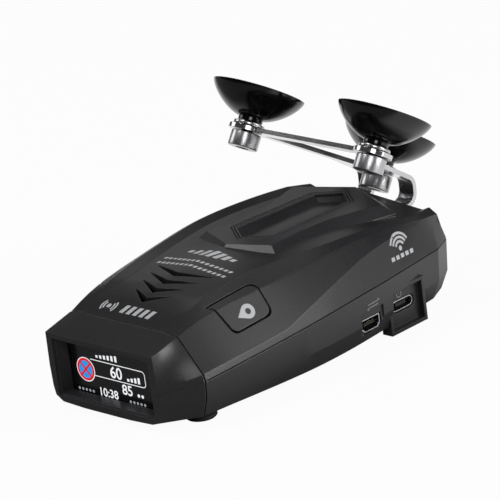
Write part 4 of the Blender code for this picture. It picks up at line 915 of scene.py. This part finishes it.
class DETECTOR_OT_display(bpy.types.Operator):
    """Finish the pane and lay the lit signs on it"""

    bl_idname = "detector.display"
    bl_label = "Display"

    def execute(self, context):
        dress("display_window", pane_glass())
        dress("display_panel", plain_plastic("display panel", tone(22, 23, 26), 0.5))
        low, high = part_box("display_window")
        middle = (low[0] + high[0]) / 2
        self.face = frame_at((middle, low[1] - sizes().stand_off, UNDERSIDE), (1, 0, 0), (0, -1, 0))
        white, grey, red, blue = [lit(f"lit {word}", getattr(colours(), f"lit_{word}"), 1.0)
                                  for word in ("white", "grey", "red", "blue")]
        self.road_sign(white, red, blue)
        self.box(white)
        self.numbers(white)
        self.marks(white, grey)
        return {"FINISHED"}

    def at(self, x, up, layer=0):
        """Place on the pane; each layer lies a hundredth of a millimetre over the last."""
        return self.face @ Matrix.Translation((x * MM, up * MM, layer * 0.01 * MM))

    def show(self, name, outlines, finish, layer=0):
        """Lit sign on the pane."""
        flat_print(name, outlines, self.at(0.0, 0.0, layer), finish, "case")

    def road_sign(self, white, red, blue):
        """Round sign with a rim and two crossed bars."""
        x, up = centre = (-11.1, 10.3)
        radius = 3.6
        field, width = radius * 0.72, radius * 0.19
        reach = radius * 0.73 * cos(pi / 4)
        cross = [stroke((x - reach, up - rise), (x + reach, up + rise), width) for rise in (reach, -reach)]
        self.show("sign_edge", disc(centre, radius, 40), white)
        self.show("sign_rim", ring(centre, radius * 0.93, field, steps=48), red, 1)
        self.show("sign_field", disc(centre, field, 40), blue, 1)
        self.show("sign_cross", cross, red, 2)

    def box(self, white):
        """Line round the upper number, with rounded corners on the right."""
        left, right, low, high, corner = -7.6, 12.4, 9.1, 13.8, 1.1
        points = [(left, low), (right - corner, low)]
        points += arc((right - corner, low + corner), corner, -pi / 2, 0.0, 5)
        points += arc((right - corner, high - corner), corner, 0.0, pi / 2, 5)
        points.append((left - 1.2, high))
        self.show("number_box", polyline(points, 0.24), white)

    def numbers(self, white):
        """Three plain numbers: digits, height and lower left corner."""
        for name, digits, height, x, up in (
                ("speed_number", "60", 3.3, -1.4, 9.8), ("range_number", "85", 2.9, 2.6, 5.6),
                ("clock_number", "10:38", 2.4, -7.0, 3.5)):
            number(name, digits, height * MM, self.at(x, up), white, "case")

    def marks(self, white, grey):
        """Rising level bars and rows of dots."""
        for name, count, x, up, pitch, low, rise in (
                ("level_bars", 6, -6.4, 14.7, 1.5, 0.7, 0.22), ("unit_bars", 4, 5.2, 9.8, 1.4, 0.8, 0.34)):
            self.show(name, [bar(x + pitch * i, up, 0.85, low + rise * i) for i in range(count)], white)
        for name, count, x, up, pitch, radius, finish in (
                ("range_dots", 2, 9.0, 6.2, 1.5, 0.5, white), ("left_dots", 5, -14.8, 4.1, 1.4, 0.42, grey),
                ("right_dots", 5, 5.4, 3.8, 1.4, 0.42, grey)):
            dots = [disc((x + pitch * i, up), radius, 16)[0] for i in range(count)]
            self.show(name, dots, finish)


class DETECTOR_OT_buttons(bpy.types.Operator):
    """Finish the two buttons and print a pin on the right one"""

    bl_idname = "detector.buttons"
    bl_label = "Buttons"

    def execute(self, context):
        # The buttons' edges carry a painted highlight a little stronger than the case's.
        finish = moulded("button plastic", colours().button, 0.38, 0.2, edge_highlight=0.9)
        switch = plain_plastic("switch plastic", tone(40, 40, 42), 0.5)
        for word in ("left", "right"):
            dress(f"{word}_button", finish, 12.0)
            dress(f"{word}_button_switch", switch)
        centre = Vector((26.3 * MM, HOOD_FACE + 32.5 * MM, 25.7 * MM))
        place = frame_at(centre, (0.0, -1.0, -0.14), (0.8, -0.16, 0.57))
        print_ink = ink("button ink", colours().ink)
        cast_print("button_pin", self.pin(2.15), place, "right_button", print_ink, "right_button_body")
        return {"FINISHED"}

    def pin(self, radius):
        """Map pin that points along X: a disc with a round hole and a point."""
        hole = radius * 0.42
        tip, inner_tip = (radius * 1.75, 0.0), (hole, 0.0)
        lean = radians(50.0)
        body = ring((0.0, 0.0), radius, hole, lean, 2 * pi - lean)
        upper = [(size * cos(lean), size * sin(lean)) for size in (radius, hole)]
        lower = [(x, -y) for x, y in upper[::-1]]
        return body + [[*upper, inner_tip, tip], [tip, inner_tip, *lower]]


class DETECTOR_OT_prints(bpy.types.Operator):
    """Print the plain marks on the shells"""

    bl_idname = "detector.prints"
    bl_label = "Prints"

    def execute(self, context):
        light = ink("case ink", colours().ink)
        faint = ink("socket ink", colours().faint_ink)
        self.front_mark(light)
        self.middle_mark(light)
        self.shoulder_mark(light)
        self.socket_marks(faint)
        return {"FINISHED"}

    def on_top(self, back):
        """Level place over the case's middle, this far behind the hood's face."""
        return frame_at((0.0, HOOD_FACE + back * MM, 30.0 * MM), (1, 0, 0), (0, 0, 1))

    def front_mark(self, finish):
        """Dot with two arcs on each side, and a row of short bars."""
        dot, half = (-9.6, 0.0), 0.28
        outlines = disc(dot, 0.75)
        for radius in (1.7, 2.6):
            for start in (-40, 140):
                outlines += ring(dot, radius + half, radius - half, radians(start), radians(start + 80), 16)
        outlines += [bar(-4.4 + 2.5 * i, -1.5, 1.5, 3.0, 0.25) for i in range(5)]
        cast_print("front_mark", outlines, self.on_top(14.6), "top_cover", finish, "case")

    def middle_mark(self, finish):
        """Row of slanted bars that swell and fall, over two rows of dots."""
        heights = (1.5, 2.6, 3.7, 4.4, 3.7, 2.6, 1.5)
        outlines = [bar(-9.0 + 2.7 * i, -height / 2, 1.7, height, 0.3) for i, height in enumerate(heights)]
        cast_print("middle_mark", outlines, self.on_top(46.4), "top_cover", finish, "case")
        rows = [bar(-13.2 + 1.8 * i, -row * 2.9, 1.1, 1.1, 0.3) for row in range(2) for i in range(15)]
        cast_print("middle_dots", rows, self.on_top(40.2), "top_cover", finish, "case")

    def shoulder_mark(self, finish):
        """Arcs that spread from a dot, over a row of short bars."""
        centre = (29.4 * MM, HOOD_FACE + 91.0 * MM, 24.2 * MM)
        place = frame_at(centre, (-0.1, 1.0, -0.05), (0.93, 0.12, 0.36))
        dot, half = (0.0, -0.2), 0.36
        outlines = disc(dot, 0.7)
        for radius in (1.9, 3.1, 4.3):
            outlines += ring(dot, radius + half, radius - half, radians(25), radians(155), 24)
        outlines += [bar(-5.2 + 2.2 * i, -2.9, 1.5, 1.2, 0.0) for i in range(5)]
        cast_print("shoulder_mark", outlines, place, "top_cover", finish, "case")

    def socket_marks(self, finish):
        """Two arrows over the data socket, and the usual sign for power over the other."""
        power = Vector(MOUNTS["power_socket"]["pos_m"])
        place = frame_at(power + Vector((0.0, -1.2 * MM, 3.4 * MM)), (0, 1, 0), (1, 0, 0))
        sign = ring((0.0, 0.0), 1.12, 0.82, radians(125), radians(415), 30)
        sign.append(stroke((0.0, 0.15), (0.0, 1.3), 0.3))
        cast_print("power_mark", sign, place, "bottom_cover", finish, "case")
        data = Vector(MOUNTS["data_socket"]["pos_m"])
        place = frame_at(data + Vector((0.0, 0.4 * MM, 5.9 * MM)), (0, 1, 0), (1, 0, 0))
        arrows = [stroke((-2.2, 0.5), (2.2, 0.5), 0.4), stroke((-2.2, -0.5), (2.2, -0.5), 0.4),
                  [(2.0, 0.3), (3.1, 0.5), (2.0, 1.3)], [(-2.0, -0.3), (-3.1, -0.5), (-2.0, -1.3)]]
        cast_print("data_mark", arrows, place, "bottom_cover", finish, "case")


class DETECTOR_OT_lines(bpy.types.Operator):
    """Lay painted shade: fine dark lines along the creases and the hood's sides"""

    bl_idname = "detector.lines"
    bl_label = "Fine lines"

    def execute(self, context):
        # Painted shade along the creases, laid as a matte ink.
        dark = ink("line shade", colours().line)
        for side, word in ((-1, "left"), (1, "right")):
            for name, node, body, start, end in (
                    ("front_line", "top_cover", "case", 11.2, 23.2),
                    ("button_line", f"{word}_button", f"{word}_button_body", 24.8, 38.2),
                    ("rear_line", "top_cover", "case", 39.8, 103.0)):
                self.crease(f"{word}_{name}", node, body, side, start, end, dark)
            self.hood(f"{word}_hood_line", side, dark)
        return {"FINISHED"}

    def crease(self, name, node, body, side, start, end, finish):
        """Line of painted shade along a shoulder's crease, between two distances behind the hood's face."""
        points = [(start, self.half_width(start))]
        points += [(back, x) for back, x in CREASE if start < back < end]
        points.append((end, self.half_width(end)))
        points = [Vector((side * x * MM, HOOD_FACE + back * MM, 28.0 * MM)) for back, x in points]
        self.line(name, points, (0.15 * side, 0.0, 0.99), node, body, finish)

    def half_width(self, back):
        """Crease's distance from the middle at this distance behind the hood's face."""
        for (near, x), (far, other) in zip(CREASE, CREASE[1:]):
            if near <= back <= far:
                return x + (other - x) * (back - near) / (far - near)
        raise RuntimeError(f"no crease at {back} mm")

    def hood(self, name, side, finish):
        """Line of painted shade along a side of the hood, from its face to its seam."""
        points = [Vector((side * x * MM, HOOD_FACE + back * MM, up * MM)) for x, back, up in HOOD_LINE]
        self.line(name, points, (0.7 * side, -0.7, 0.0), "hood", "case", finish)

    def line(self, name, points, normal, carrier, body, finish):
        """Line through points, cast on its carrier against a normal."""
        place = frame_at(points[0], points[-1] - points[0], normal)
        flat = [((place.inverted() @ point) / MM).xy for point in points]
        cast_print(name, polyline(flat, sizes().line / MM), place, carrier, finish, body)


class DETECTOR_OT_sockets(bpy.types.Operator):
    """Finish the sockets and lay gilt contacts on their tongues"""

    bl_idname = "detector.sockets"
    bl_label = "Sockets"

    def execute(self, context):
        shell = polished_metal("socket steel", tone(190, 190, 192), 0.28, 0.1)
        tongue = plain_plastic("socket tongue", tone(16, 16, 17), 0.45)
        gilt = polished_metal("gilt contacts", colours().gold, 0.25)
        for word, count, share in (("data", 5, 0.5), ("power", 8, 0.42)):
            dress(f"{word}_socket_shell", shell, 20.0)
            dress(f"{word}_socket_tongue", tongue)
            self.contacts(f"{word}_contacts", f"{word}_socket_tongue", count, share, gilt)
        return {"FINISHED"}

    def contacts(self, name, node, count, share, finish):
        """Flat strips along the tongue, on both faces; share is a strip's part of the pitch."""
        low, high = [Vector(corner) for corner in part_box(node)]
        pitch = (high.y - low.y) / (count + 0.6)
        shape = bmesh.new()
        for i in range(count):
            middle = low.y + pitch * (i + 0.8)
            for up, face in ((high.z, 1.0), (low.z, -1.0)):
                place = Matrix.Translation(((low.x + high.x) / 2 + 0.4 * MM, middle, up + face * 0.02 * MM))
                size = Matrix.Diagonal((high.x - low.x - 1.0 * MM, pitch * share, 0.1 * MM, 1.0))
                bmesh.ops.create_cube(shape, size=1.0, matrix=place @ size)
        bmesh.ops.bevel(shape, geom=shape.edges[:], offset=0.03 * MM, segments=1, affect="EDGES")
        new_piece(name, mesh_of(name, shape, flat=True), finish, "case")


class DETECTOR_OT_underside(bpy.types.Operator):
    """Finish the feet, the screws and the rear window, with a cross of painted shade on each screw head"""

    bl_idname = "detector.underside"
    bl_label = "Feet, screws and rear window"

    def execute(self, context):
        rubber = foot_rubber()
        for corner in ("front_left", "front_right", "rear_left", "rear_right"):
            dress(f"foot_{corner}", rubber, 30.0)
        steel = polished_metal("screw steel", tone(96, 97, 100), 0.35, 0.2)
        # Painted shade: a dark cross just under each screw head stands for the shade in its cross recess.
        dark = plain_plastic("screw recess", tone(12, 12, 13), 0.6)
        reach, width = 1.1, 0.42
        cross = [stroke((-reach, 0.0), (reach, 0.0), width), stroke((0.0, -reach), (0.0, -width / 2), width),
                 stroke((0.0, width / 2), (0.0, reach), width)]
        for i in range(1, 5):
            name = f"case_screw_{i}"
            dress(name, steel, 30.0)
            low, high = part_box(name)
            middle = ((low[0] + high[0]) / 2, (low[1] + high[1]) / 2, low[2] - sizes().stand_off)
            flat_print(f"screw_cross_{i}", cross, frame_at(middle, (1, 0, 0), (0, 0, -1)), dark, "case")
        window = infrared_pane()
        dress("rear_lens", window, 25.0)
        dress("laser_lens", window, 25.0)
        return {"FINISHED"}


class DETECTOR_OT_inner(bpy.types.Operator):
    """Finish the pieces inside the case"""

    bl_idname = "detector.inner"
    bl_label = "Inner pieces"

    def execute(self, context):
        dress("main_board", circuit_board())
        dress("horn_antenna", cast_metal(), 25.0)
        dress("shield_can", polished_metal("tinned lid", tone(180, 181, 184), 0.32, 0.15), 25.0)
        dress("position_antenna", ceramic(), 25.0)
        dress("speaker", plain_plastic("speaker", tone(24, 24, 25), 0.6), 30.0)
        dress("laser_sensor", plain_plastic("sensor plastic", tone(30, 30, 32), 0.45), 25.0)
        return {"FINISHED"}


class DETECTOR_OT_bracket(bpy.types.Operator):
    """Finish the steel bracket"""

    bl_idname = "detector.bracket"
    bl_label = "Bracket"

    def execute(self, context):
        dress("mount_bracket", polished_metal("bracket steel", colours().steel, 0.16, 0.05), 22.0)
        return {"FINISHED"}


class DETECTOR_OT_cups(bpy.types.Operator):
    """Turn finer cups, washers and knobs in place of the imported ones"""

    bl_idname = "detector.cups"
    bl_label = "Cups, washers and knobs"

    def execute(self, context):
        rubber = cup_rubber()
        lean = Vector(MOUNTS["rear_cup_rim"]["axis"]).angle(Vector((0.0, 0.0, 1.0)))
        metal = polished_metal("washer metal", colours().satin, 0.26, 0.1)
        knob = polished_metal("knob plating", colours().satin, 0.3, 0.25, (1.0, 1.0, 0.06), lean)
        for word in ("left", "right", "rear"):
            mount = MOUNTS[f"{word}_cup_rim"]
            place = frame_at(Vector(mount["pos_m"]), (1, 0, 0), Vector(mount["axis"]))
            self.cup(word, place, rubber)
            self.plate(f"{word}_cup_washer", f"{word}_washer_turned", place, metal, "washer_metal")
            self.plate(f"{word}_cup_knob", f"{word}_knob_turned", place, knob, "knob_plastic")
        return {"FINISHED"}

    def cup(self, word, place, finish):
        """Rounded skirt with a rolled rim, a hollow bowl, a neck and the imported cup's own stem."""
        node = f"{word}_suction_cup"
        rim, height, neck = sizes().cup_radius, sizes().cup_height, sizes().cup_neck
        skirt_height = height - sizes().cup_neck_height
        deep = skirt_height - sizes().cup_wall
        inner = rim - sizes().cup_lip
        foot, round_off = -height, 0.25 * MM
        fullness, fine = 1.38, 26
        turns = [pi / 2 * i / fine for i in range(fine + 1)]
        shares = [(max(cos(turn), 0.0) ** fullness, sin(turn) ** fullness) for turn in turns]
        bowl = [(inner * out, -deep * down) for out, down in shares[::-1]]
        skirt = [(neck + (rim - neck) * out, -skirt_height * down) for out, down in shares]
        lip = [(inner, 0.0), (rim - 0.3 * MM, 0.0), (rim, -0.12 * MM)]
        points = seen_from(place, node)
        low = min(point.z for point in points)
        stem = max(hypot(point.x, point.y) for point in points if point.z - low < 0.05 * MM)
        profile = bowl + lip + skirt[1:]
        profile += [(neck, foot + round_off), (neck - round_off, foot), (stem, foot), (stem, low), (0.0, low)]
        self.turned(f"{word}_cup_turned", profile, place, finish, "cup_rubber", node)

    def plate(self, node, name, place, finish, slot):
        """Disc with the node's own radius, bore and height, and rounded edges."""
        points = seen_from(place, node)
        low, high = min(point.z for point in points), max(point.z for point in points)
        radii = [hypot(point.x, point.y) for point in points]
        edge = min(0.35 * MM, (high - low) * 0.3)
        upper = arc((max(radii) - edge, high - edge), edge, pi / 2, 0.0, 4)
        lower = [(radius, low + high - up) for radius, up in upper[::-1]]
        bore = min(radii) if min(radii) > 0.2 * MM else 0.0
        profile = [(bore, high), *upper, *lower, (bore, low)]
        if bore:
            profile.append((bore, high))
        self.turned(name, profile, place, finish, slot, node)

    def turned(self, name, profile, place, finish, slot, node):
        """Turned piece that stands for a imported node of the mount."""
        mesh = lathe(name, profile, place, sizes().round_steps)
        smooth(new_piece(name, mesh, finish, "mount", (node,)), 40.0)


class DETECTOR_PT_panel(bpy.types.Panel):
    """Lists the steps that dress the detector"""

    bl_idname = "DETECTOR_PT_panel"
    bl_label = "Detector"
    bl_space_type = "VIEW_3D"
    bl_region_type = "UI"
    bl_category = "Detector"

    def draw(self, context):
        for step in STEPS:
            self.layout.operator(step.bl_idname)
        for group in (colours(), sizes(), studio()):
            column = self.layout.column()
            for name in group.__annotations__:
                column.prop(group, name)


STEPS = (DETECTOR_OT_stage, DETECTOR_OT_case, DETECTOR_OT_hood, DETECTOR_OT_bands, DETECTOR_OT_display,
         DETECTOR_OT_buttons, DETECTOR_OT_prints, DETECTOR_OT_lines, DETECTOR_OT_sockets,
         DETECTOR_OT_underside, DETECTOR_OT_inner, DETECTOR_OT_bracket, DETECTOR_OT_cups)
GROUPS = {"detector_colours": DetectorColours, "detector_sizes": DetectorSizes,
          "detector_studio": StudioSettings}


def register():
    for group in GROUPS.values():
        bpy.utils.register_class(group)
    for name, group in GROUPS.items():
        setattr(bpy.types.Scene, name, PointerProperty(type=group))
    for step in (*STEPS, DETECTOR_PT_panel):
        bpy.utils.register_class(step)


def unregister():
    for step in (DETECTOR_PT_panel, *STEPS[::-1]):
        bpy.utils.unregister_class(step)
    for name, group in GROUPS.items():
        delattr(bpy.types.Scene, name)
        bpy.utils.unregister_class(group)


def main():
    register()
    for step in STEPS:
        area, verb = step.bl_idname.split(".")
        getattr(getattr(bpy.ops, area), verb)()


if __name__ == "__main__":
    main()
